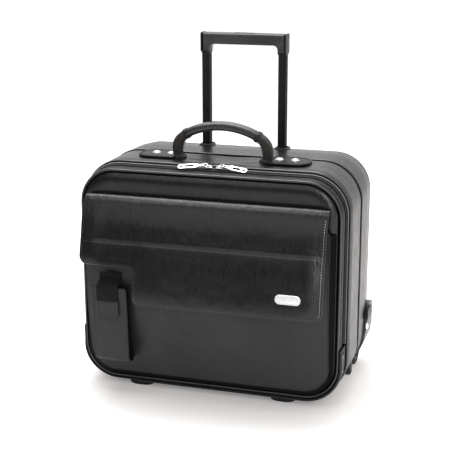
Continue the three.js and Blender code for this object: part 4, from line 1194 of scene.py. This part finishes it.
def make_handle_grip():
    def relief(w, h):
        if h < 0.2:
            return -0.35 * math.exp(-(w / 0.08) ** 2) if h < -0.5 else 0.0
        groove = sum(math.exp(-((w - g) / 0.055) ** 2) for g in (-0.62, 0.62))
        return -0.75 * groove + 0.35 * math.exp(-(w / 0.5) ** 2)

    span = GRIP_ANGLE
    rings = []
    for t in np.linspace(-1, 1, 65):
        edge = (1 - abs(t)) * span * GRIP_RADIUS
        swell = 1.0 + 0.05 * math.cos(t * math.pi / 2)
        tuck = min(1.0, 0.86 + 0.14 * edge / 5.0) if edge < 5 else 1.0
        rings.append(grip_ring(t * span, 10.1 * swell * tuck, 7.0 * tuck, relief))
    verts, faces = capped(rings)
    new_object("handle_grip_cover", verts, faces, GRIP_LEATHER, "carry_handle", "leather", ["handle_grip"])
    rows = []
    for w in (-0.62, 0.62):
        path, ups = [], []
        for t in np.linspace(-0.93, 0.93, 120):
            out = np.array((math.sin(t * span), 0, math.cos(t * span)))
            foot = np.array((0, HANDLE_Y + w * 10.3 - math.copysign(1.4, w), GRIP_CENTRE_Z))
            path.append(foot + out * (GRIP_RADIUS + 7.0))
            ups.append(out)
        rows.append(stitch_row(path, ups, 2.6, 1.5, 0.30))
    new_object("handle_grip_stitches", *merged(rows), THREAD, "carry_handle", "leather")
    collar = ((-1.2, 0.25), (-1.0, 1.3), (0.0, 1.9), (2.4, 2.1), (4.4, 2.0), (5.4, 1.5), (5.9, 0.35))
    parts = []
    for sign in (-1, 1):
        rings = [grip_ring(sign * (span - back / GRIP_RADIUS), 9.9 + grow * 0.8, 6.7 + grow * 0.9)
                 for back, grow in collar]
        parts.append(capped(rings[::sign]))
    new_object("handle_grip_collars", *merged(parts), PLASTIC, "carry_handle", "leather", flat_angle=60)


def loop_path(sign):
    """From inside the grip's end, round the bend, down to the pad's slot."""
    bend = 27.6
    cx = GRIP_HALF_SPAN - bend * math.sin(GRIP_ANGLE)
    cz = GRIP_END_Z - bend * math.cos(GRIP_ANGLE)
    points = [(GRIP_HALF_SPAN - 2.6, GRIP_END_Z + 1.5)]
    for a in np.linspace(90 - math.degrees(GRIP_ANGLE) - 2, 4, 9):
        points.append((cx + bend * math.cos(math.radians(a)), cz + bend * math.sin(math.radians(a))))
    points += [(cx + bend, cz - 3), (cx + bend, TOP_Z + 9), (cx + bend + 0.1, TOP_Z + 5.3)]
    path = smooth_profile(points, 40)
    return np.stack([sign * path[:, 0], np.full(len(path), HANDLE_Y), path[:, 1]], 1)


def make_handle_loops():
    for side, sign in SIDES:
        path = loop_path(sign)
        n = len(path)
        t = np.gradient(path, axis=0)
        t /= np.linalg.norm(t, axis=1)[:, None]
        normal = np.cross(t, (0, 1, 0)) * -sign
        share = np.linspace(0, 1, n)
        depth = np.interp(share, [0, 0.2, 0.62, 1], [10.4, 10.4, 9.6, 5.6])
        thick = np.interp(share, [0, 0.2, 0.5, 1], [6.2, 7.2, 8.2, 8.0])
        rings = []
        for i in range(n):
            ring = []
            for w, h in squircle(44, 3.4):
                rib = 0.25 * math.cos(w * 5 * math.pi) * min(1, abs(h) * 1.2)
                rib -= 0.5 * math.exp(-((abs(w) - 0.78) / 0.07) ** 2)
                ring.append(path[i] + np.array((0, w * depth[i], 0)) + normal[i] * (h * (thick[i] + rib)))
            rings.append(np.array(ring))
        new_object("handle_loop_%s_webbing" % side, *capped(rings), WEBBING, "carry_handle", "webbing",
                   ["handle_loop_" + side])
        rows = []
        sewn = slice(5, 34)
        for w in (-0.72, 0.72):
            line = path[sewn] + normal[sewn] * (thick[sewn, None] + 0.1)
            line[:, 1] += w * depth[sewn]
            rows.append(stitch_row(line, normal[sewn], 2.4, 1.6, 0.45))
        new_object("handle_loop_%s_stitches" % side, *merged(rows), DARK_THREAD, "carry_handle", "webbing")


def make_loop_feet():
    """The webbing comes out from under each pad and folds up into the loop."""
    shape = squircle(48, 3.4) * (10.4, 8.6)
    levels = [(0.1, 1.0), (1.4, 1.02), (2.6, 0.98), (3.8, 0.9), (5.0, 0.78), (6.2, 0.6), (6.6, 0.3)]
    for side, sign in SIDES:
        cx = sign * (low("handle_loop_right").x + high("handle_loop_right").x + 1.4) / 2
        rings = [level(shape * k + (cx, HANDLE_Y), TOP_Z + z) for z, k in levels]
        new_object("handle_loop_%s_foot" % side, *capped(rings), WEBBING, "case", "webbing")


# A rivet's head from the pad up: (height above the pad, radius).
RIVET_HEAD = [(-0.2, 2.0), (0.05, 6.9), (0.5, 6.9), (0.75, 6.3), (0.6, 6.0), (1.1, 5.7), (2.0, 5.0),
              (2.75, 3.9), (3.15, 2.5), (3.28, 1.0), (3.3, 0.1)]


def make_handle_pads():
    for side, sign in SIDES:
        lo, hi = low("handle_pad_" + side), high("handle_pad_" + side)
        y0, y1 = lo.y - Y_SHIFT, hi.y - Y_SHIFT
        outer = 23.0
        corners = [(lo.x, y0), (hi.x, y0), (hi.x, y1), (lo.x, y1)]
        radii = [outer, 5, 5, outer] if sign < 0 else [5, outer, outer, 5]
        path = rounded_polygon([c + (r,) for c, r in zip(corners, radii)], 2.0)
        base = lo.z

        def place(u, v, h):
            u, v, h = as_arrays(u, v, h)
            return np.stack([u, v, base + 1.5 + h + np.zeros_like(u)], 1)

        def relief(u, v, d):
            return 0.45 * bell(d - 1.2, 0.9) - 0.65 * bell(d - 4.0, 1.1) + 0.25 * np.clip((d - 6) / 8, 0, 1)

        verts, faces = cut_sheet(path, place, 2.9, 2.4, edge=1.1, extra=relief)
        new_object("handle_pad_%s_leather" % side, verts, faces, TRIM_LEATHER, "case", "leather",
                   ["handle_pad_" + side])
        verts, faces = stitches_on(inset_path(path, 4.0), place, 0.95, length=2.6, gap=1.5, radius=0.42)
        new_object("handle_pad_%s_stitches" % side, verts, faces, DARK_THREAD, "case", "leather")
        for number in (1, 2):
            node = "handle_rivet_%s_%d" % (side, number)
            x, y, _ = middle(node)
            verts, faces = turned([(low(node).z, 2.0)] + [(hi.z + rise, r) for rise, r in RIVET_HEAD],
                                  (x, y, 0), (0, 0, 1), 32)
            new_object(node + "_head", verts, faces, CHROME, "case", "chrome", [node], flat_angle=60)


# ---------------------------------------------------------------- zip sliders and pulls
def plate(path, z0, z1, edge, holes=()):
    """A flat plate in (x, y) with rounded edges and open slots."""
    verts, faces, loops = [], [], []
    levels = [(edge, z0), (edge * 0.3, z0 + edge * 0.3), (0, z0 + edge), (0, z1 - edge),
              (edge * 0.3, z1 - edge * 0.3), (edge, z1)]
    for loop in [path] + [hole[::-1] for hole in holes]:
        layers = []
        for inset, z in levels:
            start = len(verts)
            verts += [(a, b, z) for a, b in inset_path(loop, inset)]
            layers.append(list(range(start, len(verts))))
        loops.append(layers)
        for a, b in zip(layers, layers[1:]):
            n = len(a)
            faces += [(a[i], a[(i + 1) % n], b[(i + 1) % n], b[i]) for i in range(n)]
    for end, step in ((0, -1), (-1, 1)):
        idx, edges = [], []
        for layers in loops:
            ring, base = layers[end], len(idx)
            idx += ring
            edges += [(base + i, base + (i + 1) % len(ring)) for i in range(len(ring))]
        found = delaunay_2d_cdt([Vector(verts[i][:2]) for i in idx], edges, [], 5 if holes else 1, 1e-6)
        origin = [i[0] if i else None for i in found[3]]
        cut = [np.array([verts[i][:2] for i in layers[end]]) for layers in loops[1:]]
        for f in found[2]:
            centre = np.mean([tuple(found[0][i]) for i in f], axis=0)
            if not any(inside(centre[None], hole)[0] for hole in cut):
                faces.append(tuple(idx[origin[i]] for i in f)[::step])
    return np.array(verts, float), faces


def capsule(cx, cy, half_x, half_y, pitch=0.5, radius=None):
    r = min(half_x, half_y) - 0.02 if radius is None else radius
    return rounded_box(cx - half_x, cy - half_y, cx + half_x, cy + half_y, pitch, r)


def torus(centre, long_axis, axis, radius, thick, stretch):
    """A round bar bent into a ring, stretched along its first axis."""
    a, b = np.array(long_axis, float), np.array(axis, float)
    path = np.array(centre) + circle(28, a * radius * stretch, b * radius)
    return tube_along(path, thick, 8, closed=True, up=np.cross(a, b))


def make_zip_hardware():
    for side, sign in SIDES:
        node = "zip_slider_" + side
        cx, cy, _ = middle(node)
        z = low(node).z
        wide, slim = (4.5, 2.0), (2.9, 1.2)
        (l, rl), (r, rr) = (slim, wide) if sign > 0 else (wide, slim)
        body = rounded_polygon([(cx - 5.5, cy - l, rl), (cx + 5.5, cy - r, rr), (cx + 5.5, cy + r, rr),
                                (cx - 5.5, cy + l, rl)], 0.5)
        arch = [(-4.2, 1.2), (-3.8, 2.6), (-2.0, 3.4), (2.0, 3.4), (3.8, 2.6), (4.2, 1.2)]
        arch = resample(np.array([(cx + x, cy, z + rise) for x, rise in arch]), 24)
        bridge = tube_along(arch, 0.85, 8, up=(0, 1, 0), flat=1.5)
        verts, faces = merged([plate(body, z, z + 1.5, 0.45), bridge])
        new_object(node + "_body", verts, faces, CHROME, node, "chrome", [node], flat_angle=50)
        shape = [(0, -2.4, 1.7), (9, -2.4, 5), (14, -PULL_WIDTH / 2, 5), (PULL_LENGTH, -PULL_WIDTH / 2, 4.2),
                 (PULL_LENGTH, PULL_WIDTH / 2, 4.2), (14, PULL_WIDTH / 2, 5), (9, 2.4, 5), (0, 2.4, 1.7)]
        path = rounded_polygon(shape, 0.7)
        holes = [capsule(4.2, 0, 2.2, 1.1, 0.4), capsule(24.5, 0, 7.0, 1.9), capsule(37.2, 0, 2.4, 1.9, 0.4)]
        ring = torus((-1.2, 0, 0.4), (1, 0, 0.25), (0, 1, 0), 3.1, 0.75, 1.25)
        verts, faces = merged([plate(path, -0.9, 0.9, 0.5, holes), ring])
        verts = leaned(verts, sign, (cx + sign * 6.7, cy - 3.0, high(node).z + 0.6))
        pull = "zip_pull_" + side
        new_object(pull + "_plate", verts, faces, CHROME, pull, "chrome", [pull], flat_angle=50)

PULL_LENGTH, PULL_WIDTH = 43.0, 9.0
PULL_LEAN, PULL_DIP, PULL_TURN = 35.0, 5.0, 11.0


def leaned(verts, sign, origin):
    """A pull laid out along +X put beside its slider, leaning on the lid's edge as the CAD's does."""
    v = np.asarray(verts, float) * (sign, 1, 1)
    turn = (Matrix.Rotation(math.radians(-sign * PULL_TURN), 3, "Z")
            @ Matrix.Rotation(math.radians(sign * PULL_DIP), 3, "Y")
            @ Matrix.Rotation(math.radians(PULL_LEAN), 3, "X"))
    return v @ np.array(turn).T + np.array(origin)


# ---------------------------------------------------------------- telescopic handle
def prism(section, z0, z1, edge=0.4):
    """A closed (x, y) section standing between two heights, with eased ends."""
    rings = []
    for inset, z in ((edge, z0), (0, z0 + edge), (0, (z0 + z1) / 2), (0, z1 - edge), (edge, z1)):
        rings.append(level(inset_path(section, inset), z))
    return capped(rings)


def fluted(cx, cy, half_x, half_y, flutes, radius=1.6, deep=0.45):
    """A rounded rectangle whose front and back faces have shallow upright flutes."""
    path = capsule(cx, cy, half_x, half_y, 0.4, radius)
    out = path.copy()
    for i, (x, y) in enumerate(path):
        if abs(abs(y - cy) - half_y) < 0.02:
            dip = sum(math.exp(-(((x - cx) - f) / 0.5) ** 2) for f in flutes)
            out[i, 1] -= math.copysign(deep * min(dip, 1.0), y - cy)
    return out


def make_trolley():
    stages = (("inner", "trolley_upper", (-3.4, -1.15, 1.15, 3.4)),
              ("middle", "trolley_middle", (-4.2, 0, 4.2)))
    for side in ("left", "right"):
        for part, body, flutes in stages:
            node = "trolley_%s_tube_%s" % (part, side)
            lo, hi = low(node), high(node)
            section = fluted(*middle(node)[:2], *half_size(node)[:2], flutes)
            if part == "middle":
                verts, faces = hollow_prism(section, 1.4, lo.z, hi.z)
            else:
                verts, faces = prism(section, lo.z, hi.z)
            tube = new_object(node + "_skin", verts, faces, TUBE, body, "tube", [node], flat_angle=40)
            # Faces turned sideways take the painted-shade copy of the tube finish.
            tube.data.materials.append(TUBE_SIDE_SHADE)
            for face in tube.data.polygons:
                face.material_index = int(abs(face.normal.x) > 0.55)
        lo, hi = low("trolley_bezel_" + side), high("trolley_bezel_" + side)
        cx, cy, _ = middle("trolley_bezel_" + side)
        hole = capsule(cx, cy, 8.9, 10.4, 1.0, 2.0)
        foot = plate(capsule(cx, cy, 12.0, 13.0, 1.2, 5.0), lo.z + 1.0, hi.z - 1.9, 0.8, [hole])
        rim = plate(capsule(cx, cy, 10.2, 11.6, 1.0, 3.0), hi.z - 3.0, hi.z - 1.2, 0.5, [hole])
        new_object("trolley_bezel_%s_collar" % side, *merged([foot, rim]), PLASTIC, "case", "moulding",
                   ["trolley_bezel_" + side], flat_angle=50)


def hollow_prism(section, wall, z0, z1):
    inner = inset_path(section, wall)
    stations = ((section, 0.25, z0), (section, 0, z0 + 0.3), (section, 0, z1 - 0.3), (section, 0.25, z1),
                (inner, -0.2, z1), (inner, 0, z1 - 0.3), (inner, 0, z0 + 0.3), (inner, -0.2, z0))
    return skin([level(inset_path(p, inset), z) for p, inset, z in stations], close=True)


def make_trolley_grip():
    lo, hi = low("trolley_grip"), high("trolley_grip")
    post_x = middle("trolley_inner_tube_right")[0]
    y_mid = middle("trolley_grip")[1]
    half_y = half_size("trolley_grip")[1]
    half_x = hi.x - 2.6
    top, under, foot = hi.z - 0.4, hi.z - 20.5, lo.z
    # its front view, counterclockwise: ends, arms and the bar's underside
    view = rounded_polygon([
        (-half_x, foot, 1.0), (-post_x + 8.2, foot, 1.0), (-post_x + 9.4, under, 7.0),
        (post_x - 9.4, under, 7.0),
        (post_x - 8.2, foot, 1.0), (half_x, foot, 1.0), (half_x, top, 1.0), (-half_x, top, 1.0)], 1.2)

    def depth(u, v, d):
        bow = 1.6 * np.cos(np.clip((v - (top + under) / 2) / 11.0, -1, 1) * math.pi / 2)
        lines = sum(bell(v - (top - 5.5 - k), 0.5) for k in (0, 6.0)) * (np.abs(u) < half_x - 14)
        return bow - 0.45 * lines

    def place(u, v, h):
        u, v, h = as_arrays(u, v, h)
        return np.stack([u, y_mid - h, v], 1)

    thick = 2 * (half_y - 2.0)
    verts, faces = cut_sheet(view, place, thick, 2.2, edge=2.4, extra=depth,
                             under=lambda u, v, d: -depth(u, v, d))
    new_object("trolley_grip_shell", verts, faces, GRIP_PLASTIC, "trolley_upper", "grip_plastic",
               ["trolley_grip"], flat_angle=70)
    parts = []
    cap = ((1.2, 0.2), (0.2, 0.5), (0.0, 1.2), (0.5, 2.3), (1.4, 2.6))
    section = capsule(y_mid, (foot + hi.z) / 2, half_y - 0.4, (hi.z - foot) / 2, 1.5, 3.5)
    for sign in (-1, 1):
        rings = []
        for inset, out in cap:
            p = inset_path(section, inset)
            rings.append(np.stack([np.full(len(p), sign * (half_x + out)), p[:, 0], p[:, 1]], 1))
        parts.append(capped(rings))
    for x in (-post_x, post_x):
        parts.append(prism(capsule(x, y_mid, 8.1, 9.6, 0.8, 2.2), foot - 0.2, foot + 1.4, 0.5))
        parts.append(prism(capsule(x, y_mid, 7.3, 8.8, 0.8, 2.2), foot - 2.4, foot - 0.4, 0.4))
    new_object("trolley_grip_collars", *merged(parts), PLASTIC, "trolley_upper", "grip_plastic",
               flat_angle=50)
    _, cy, cz = middle("release_button")
    wide, deep, tall = half_size("release_button")

    def put(u, v, h):
        u, v, h = as_arrays(u, v, h)
        return np.stack([u, v, cz - 0.9 + h], 1)

    def ribs(u, v, d):
        return 0.45 * np.cos(u * 2 * math.pi / 3.2) * np.clip((d - 1.5) / 1.2, 0, 1) - 0.5

    path = capsule(0.0, cy, wide, deep, 1.0, 5.0)
    button = cut_sheet(path, put, 2 * tall - 0.2, 0.8, edge=1.0, extra=ribs)
    new_object("release_button_cap", *button, RUBBER, "release", "rubber", ["release_button"], flat_angle=70)


# ---------------------------------------------------------------- wheels
def lathe(profile, x, y, z, count, relief=lambda px, r, a: 0.0):
    """A closed (x, radius) profile turned about an axle along X; relief(x, radius, angle) adds to it."""
    rings = []
    for a in np.linspace(0, 2 * math.pi, count, endpoint=False):
        ring = []
        for px, r in profile:
            r += relief(px, r, a)
            ring.append((x + px, y + r * math.cos(a), z + r * math.sin(a)))
        rings.append(np.array(ring))
    return skin(rings, close=True)


def make_wheels():
    for side in ("left", "right"):
        x, y, z = middle("wheel_tyre_" + side)
        w, _, radius = half_size("wheel_tyre_" + side)
        hw, _, hub = half_size("wheel_hub_" + side)

        def tread(px, r, a):
            if r > radius - 1.2 and abs(px) < w - 2:
                chevron = math.cos(36 * (a + 0.035 * abs(px)))
                return -0.7 * (1 if chevron > 0.55 else 0) - 0.5 * math.exp(-(px / 0.7) ** 2)
            return 0.0

        inner = hub + 0.25
        profile = [(-w + 1.2, inner), (-w + 0.3, inner + 0.6), (-w, inner + 2.4), (-w + 0.1, radius - 4.6),
                   (-w + 0.7, radius - 2.4), (-w + 2.0, radius - 0.7), (-w + 3.5, radius - 0.1)]
        profile += [(px, radius) for px in np.linspace(-w + 4.6, w - 4.6, 13)]
        profile += [(-px, r) for px, r in profile[6::-1]]
        profile += [(w - 4, inner), (-w + 4, inner)]
        verts, faces = lathe(profile, x, y, z, 216, tread)
        new_object("wheel_tyre_%s_tread" % side, verts, faces, TYRE, "wheel_" + side, "tyre",
                   ["wheel_tyre_" + side], flat_angle=45)
        bore = half_size("wheel_bearing_" + side)[2] + 0.25
        rim = [(-hw, hub - 3.2), (-hw, hub - 0.6), (-hw + 0.6, hub), (hw - 0.6, hub), (hw, hub - 0.6),
               (hw, hub - 3.2), (hw - 1.4, hub - 4.0), (1.6, hub - 4.4), (-1.6, hub - 4.4),
               (-hw + 1.4, hub - 4.0)]
        boss = [(-hw, bore), (-hw, bore + 2.2), (-hw + 0.8, bore + 3.0), (hw - 0.8, bore + 3.0),
                (hw, bore + 2.2), (hw, bore)]
        web = [(-1.1, bore + 2), (-1.1, hub - 3), (1.1, hub - 3), (1.1, bore + 2)]
        parts = [lathe(rim, x, y, z, 72), lathe(boss, x, y, z, 48), lathe(web, x, y, z, 48)]
        for k in range(6):
            a = k * math.pi / 3 + 0.26
            out, over = np.array((0, math.cos(a), math.sin(a))), np.array((0, -math.sin(a), math.cos(a)))
            rings = []
            for r, half in ((bore + 1.2, 3.2), (bore + 3.6, 2.5), (hub - 5.5, 2.1), (hub - 2.6, 2.9)):
                section = squircle(16, 4.0)
                centre = np.array((x, y, z)) + out * r
                rings.append(centre + np.outer(section[:, 0] * half, over)
                             + np.outer(section[:, 1] * hw * 0.62, (1, 0, 0)))
            parts.append(capped(rings))
        new_object("wheel_hub_%s_spokes" % side, *merged(parts), PLASTIC, "wheel_" + side, "moulding",
                   ["wheel_hub_" + side], flat_angle=40)


# ---------------------------------------------------------------- housings, feet and skids
def dress(node, material, bevel=None):
    """A CAD node that stays: its finish and its eased edges, bevel millimetres wide."""
    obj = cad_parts[node]
    obj.data.materials.clear()
    obj.data.materials.append(material)
    if bevel:
        modifier = obj.modifiers.new("bevel", "BEVEL")
        modifier.width = bevel * MM
        modifier.segments = 3
        modifier.limit_method = "ANGLE"
        modifier.angle_limit = math.radians(35)
        modifier.harden_normals = False


def make_housings():
    for side, sign in SIDES:
        node = "wheel_housing_" + side
        dress(node, HOUSING, 1.2)
        lo, hi = low(node), high(node)
        face = hi.x if sign > 0 else lo.x
        y0, y1 = lo.y - Y_SHIFT, hi.y - Y_SHIFT
        cap = rounded_box(y0 + 14, hi.z - 24, y1 - 20, hi.z - 5, 1.5, 6, 9)

        def place(u, v, h):
            u, v, h = as_arrays(u, v, h)
            return np.stack([face + sign * (h + 0.6), u, v], 1)

        def ridge(u, v, d):
            return 0.35 * np.cos(v * 2 * math.pi / 4.5) * np.clip((d - 2) / 2, 0, 1) + 0.4

        verts, faces = cut_sheet(cap, place, 1.6, 1.8, edge=0.8, extra=ridge)
        new_object(node + "_cap", verts, faces, PLASTIC, "case", "moulding", flat_angle=60)
        screws = [dome((face + sign * 0.2, y0 + 18, hi.z - 35), (sign, 0, 0), 5.4, 2.2),
                  dome((face + sign * 0.2, y1 - 16, hi.z - 46), (sign, 0, 0), 3.0, 1.3)]
        new_object(node + "_screws", *merged(screws), CHROME, "case", "steel", flat_angle=50)


def make_feet():
    """Rubber feet: (height, share of the full width) from the hollow under each up into the guard."""
    for side in ("left", "right"):
        node = "front_foot_" + side
        top = high(node).z
        levels = [(1.2, 0.40), (0.5, 0.42), (0.0, 0.50), (0.0, 0.62), (0.5, 0.74), (1.6, 0.83), (2.4, 0.85),
                  (2.9, 0.82), (3.5, 0.86), (5.4, 0.93), (7.6, 0.96), (top, 0.98), (top + 0.9, 0.94)]
        shape = squircle(72, 2.6) * half_size(node)[:2]
        rings = [level(shape * k + middle(node)[:2], z) for z, k in levels]
        new_object(node + "_rubber", *capped(rings), RUBBER, "case", "rubber", [node], flat_angle=50)


def make_skids():
    for side in ("left", "right"):
        node = "rear_skid_" + side
        dress(node, PLASTIC, 1.0)
        cx, cy, _ = middle(node)
        foot = low(node).z
        parts = []
        for k in range(4):
            bar = capsule(cx, cy - 6.6 + 4.4 * k, 6.6, 0.8, 0.8, 0.6)
            parts.append(prism(bar, foot + 0.1, foot + 1.6, 0.25))
        new_object(node + "_ribs", *merged(parts), RUBBER, "case", "rubber", flat_angle=50)


def make_axles():
    for side, sign in SIDES:
        dress("wheel_bearing_" + side, STEEL, 0.6)
        dress("wheel_axle_" + side, STEEL, 0.5)
        _, y, z = middle("wheel_axle_" + side)
        bearing = high("wheel_bearing_" + side).x if sign > 0 else low("wheel_bearing_" + side).x
        washer = turned([(0.0, 8.6), (0.25, 8.6), (0.35, 8.2), (0.35, 5.2)], (bearing, y, z), (sign, 0, 0))
        new_object("wheel_axle_%s_washer" % side, *washer, STEEL, "wheel_" + side, "steel", flat_angle=50)


# ---------------------------------------------------------------- inside
def make_interior():
    dress("file_divider", LINING)
    dress("back_lining", LINING)
    lo, hi = low("file_divider"), high("file_divider")
    y_mid = middle("file_divider")[1]
    top = np.array([(x, y_mid, hi.z - 0.3) for x in np.linspace(lo.x + 1.5, hi.x - 1.5, 120)])
    verts, faces = tube_along(top, 1.7, 10, up=(0, 0, 1))
    new_object("file_divider_binding", verts, faces, TRIM_LEATHER, "case", "lining")
    lo, hi = low("laptop_sleeve"), high("laptop_sleeve")
    y0, y1 = lo.y - Y_SHIFT, hi.y - Y_SHIFT
    outer = rounded_box(lo.x + 0.8, y0 + 0.8, hi.x - 0.8, y1 - 0.2, 4.0, 5)
    inner = rounded_box(lo.x + 4.2, y0 + 4.2, hi.x - 4.2, y1 - 3.6, 4.0, 3)
    outer, inner = resample(outer, 260, closed=True), resample(inner, 260, closed=True)
    shrunk = inset_path(outer, 0.8)
    outward = outer - shrunk
    outward /= np.maximum(np.linalg.norm(outward, axis=1)[:, None], 1e-9)
    rings = []
    for z in np.linspace(lo.z + 0.4, hi.z - 2.2, 60):
        rows = abs(math.sin((z - lo.z) * math.pi / 40)) ** 0.5
        puff = 0.8 * np.abs(np.sin(outer[:, 0] * math.pi / 44)) ** 0.5 * rows
        rings.append(level(shrunk + outward * puff[:, None], z))
    for z, mix in ((hi.z - 1.0, 0.15), (hi.z - 0.4, 0.5)):
        rings.append(level(outer * (1 - mix) + inner * mix, z))
    rings += [level(inner, z) for z in np.linspace(hi.z - 2.0, lo.z + 4.4, 12)]
    sleeve = new_object("laptop_sleeve_padded", *capped(rings), LINING, "case", "lining", ["laptop_sleeve"])
    hem = tube_along(level((outer + inner) / 2, hi.z - 0.9), 1.9, 10, closed=True, up=(0, 0, 1))
    new_object("laptop_sleeve_binding", *hem, TRIM_LEATHER, "case", "lining")


def dress_hidden():
    dress("handle_plate", STEEL, 0.4)
    for side in ("left", "right"):
        dress("trolley_outer_tube_" + side, TUBE, 0.6)
        dress("lock_pin_" + side, STEEL, 0.5)
    dress("release_yoke", STEEL, 0.3)


# ---------------------------------------------------------------- make it all
def make_case():
    make_front_panel()
    make_lid_edge()
    make_zip()
    make_main_band()
    make_rear_band()
    make_back_panel()
    make_guard()
    make_front_pocket()
    make_flap()
    make_badge()
    make_phone_pocket()
    make_phone_strap()
    make_handle_grip()
    make_handle_loops()
    make_loop_feet()
    make_handle_pads()
    make_zip_hardware()
    make_trolley()
    make_trolley_grip()
    make_wheels()
    make_housings()
    make_feet()
    make_skids()
    make_axles()
    make_interior()
    dress_hidden()


# ---------------------------------------------------------------- floor, world, lights and camera
FLOOR_GLOW = 0.21
FLOOR_HALF = 9.0


def make_floor():
    mesh = bpy.data.meshes.new("studio_floor")
    corners = [(x * FLOOR_HALF, y * FLOOR_HALF, 0) for x, y in ((-1, -1), (1, -1), (1, 1), (-1, 1))]
    mesh.from_pydata(corners, [], [(0, 1, 2, 3)])
    floor = bpy.data.objects.new("studio_floor", mesh)
    bpy.context.scene.collection.objects.link(floor)
    s = Shader("studio_paper")
    parts = s.node("ShaderNodeSeparateXYZ", {0: s.coords}).outputs
    far = s.remap(parts[1], -0.6, 0.6, 0.5, 1.9)
    s.set(Base_Color=(0.86, 0.847, 0.838, 1), Roughness=0.8, Specular_IOR_Level=0.1,
          Emission_Color=(1.0, 0.975, 0.965, 1), Emission_Strength=s.math("MULTIPLY", far, FLOOR_GLOW))
    mesh.materials.append(s.material)


def make_world():
    world = bpy.data.worlds.new("studio")
    bpy.context.scene.world = world
    world.use_nodes = True
    tree = world.node_tree
    tree.nodes.clear()
    out = tree.nodes.new("ShaderNodeOutputWorld")
    background = tree.nodes.new("ShaderNodeBackground")
    coords = tree.nodes.new("ShaderNodeTexCoord")
    split = tree.nodes.new("ShaderNodeSeparateXYZ")
    tree.links.new(coords.outputs["Generated"], split.inputs[0])

    def ramp(source, a, b, c, d):
        node = tree.nodes.new("ShaderNodeMapRange")
        node.interpolation_type = "SMOOTHSTEP"
        tree.links.new(source, node.inputs["Value"])
        for key, value in (("From Min", a), ("From Max", b), ("To Min", c), ("To Max", d)):
            node.inputs[key].default_value = value
        return node.outputs[0]

    back = ramp(split.outputs[1], -0.15, 0.75, 0.10, 1.15)
    up = ramp(split.outputs[2], 0.15, 0.8, 0.0, 0.40)
    total = tree.nodes.new("ShaderNodeMath")
    total.operation = "ADD"
    tree.links.new(back, total.inputs[0])
    tree.links.new(up, total.inputs[1])
    tree.links.new(total.outputs[0], background.inputs["Strength"])
    background.inputs["Color"].default_value = (1.0, 0.995, 0.99, 1)
    tree.links.new(background.outputs[0], out.inputs[0])


def softbox(name, place, aim, size, power):
    light = bpy.data.lights.new(name, "AREA")
    light.shape = "RECTANGLE"
    light.size, light.size_y = size
    light.energy = power
    obj = bpy.data.objects.new(name, light)
    bpy.context.scene.collection.objects.link(obj)
    obj.location = place
    obj.rotation_euler = (Vector(aim) - Vector(place)).to_track_quat("-Z", "Y").to_euler()


def make_lights():
    softbox("top_softbox", (-0.25, 0.35, 1.75), (0, 0.05, 0.25), (1.6, 1.1), 26)
    softbox("front_top_softbox", (-0.05, -1.75, 1.35), (0, -0.1, 0.3), (2.2, 1.1), 7.5)
    softbox("front_right_softbox", (0.9, -1.8, 0.85), (0, -0.1, 0.3), (0.45, 1.3), 9)
    softbox("edge_strip", (0.1, -0.55, 1.7), (0, 0.0, 0.3), (2.2, 0.14), 5)
    softbox("right_strip", (1.25, -0.85, 0.6), (0.1, -0.1, 0.25), (0.4, 1.2), 2.2)
    softbox("right_softbox", (1.7, 0.5, 0.9), (0.1, 0.0, 0.25), (0.7, 1.0), 1.2)


def make_camera():
    """The fitted viewpoint: turned and raised about the case, with a slight roll."""
    turn, rise, roll = 0.300439, 0.265616, -0.002644
    eye = (0.5337, -1.7171, 0.7553)
    right = Vector((math.cos(turn), math.sin(turn), 0))
    back = Vector((math.sin(turn) * math.cos(rise), -math.cos(turn) * math.cos(rise), math.sin(rise)))
    up = back.cross(right)
    across = right * math.cos(roll) + up * math.sin(roll)
    over = up * math.cos(roll) - right * math.sin(roll)
    data = bpy.data.cameras.new("camera")
    data.sensor_width = 36.0
    data.lens = 90.2
    data.clip_start, data.clip_end = 0.05, 40.0
    camera = bpy.data.objects.new("camera", data)
    bpy.context.scene.collection.objects.link(camera)
    turned_to = Matrix((across, over, back)).transposed().to_4x4()
    camera.matrix_world = Matrix.Translation(eye) @ turned_to
    bpy.context.scene.camera = camera


make_case()
make_floor()
make_world()
make_lights()
make_camera()
bpy.context.scene.view_settings.view_transform = "Standard"
bpy.context.scene.view_settings.gamma = 0.84
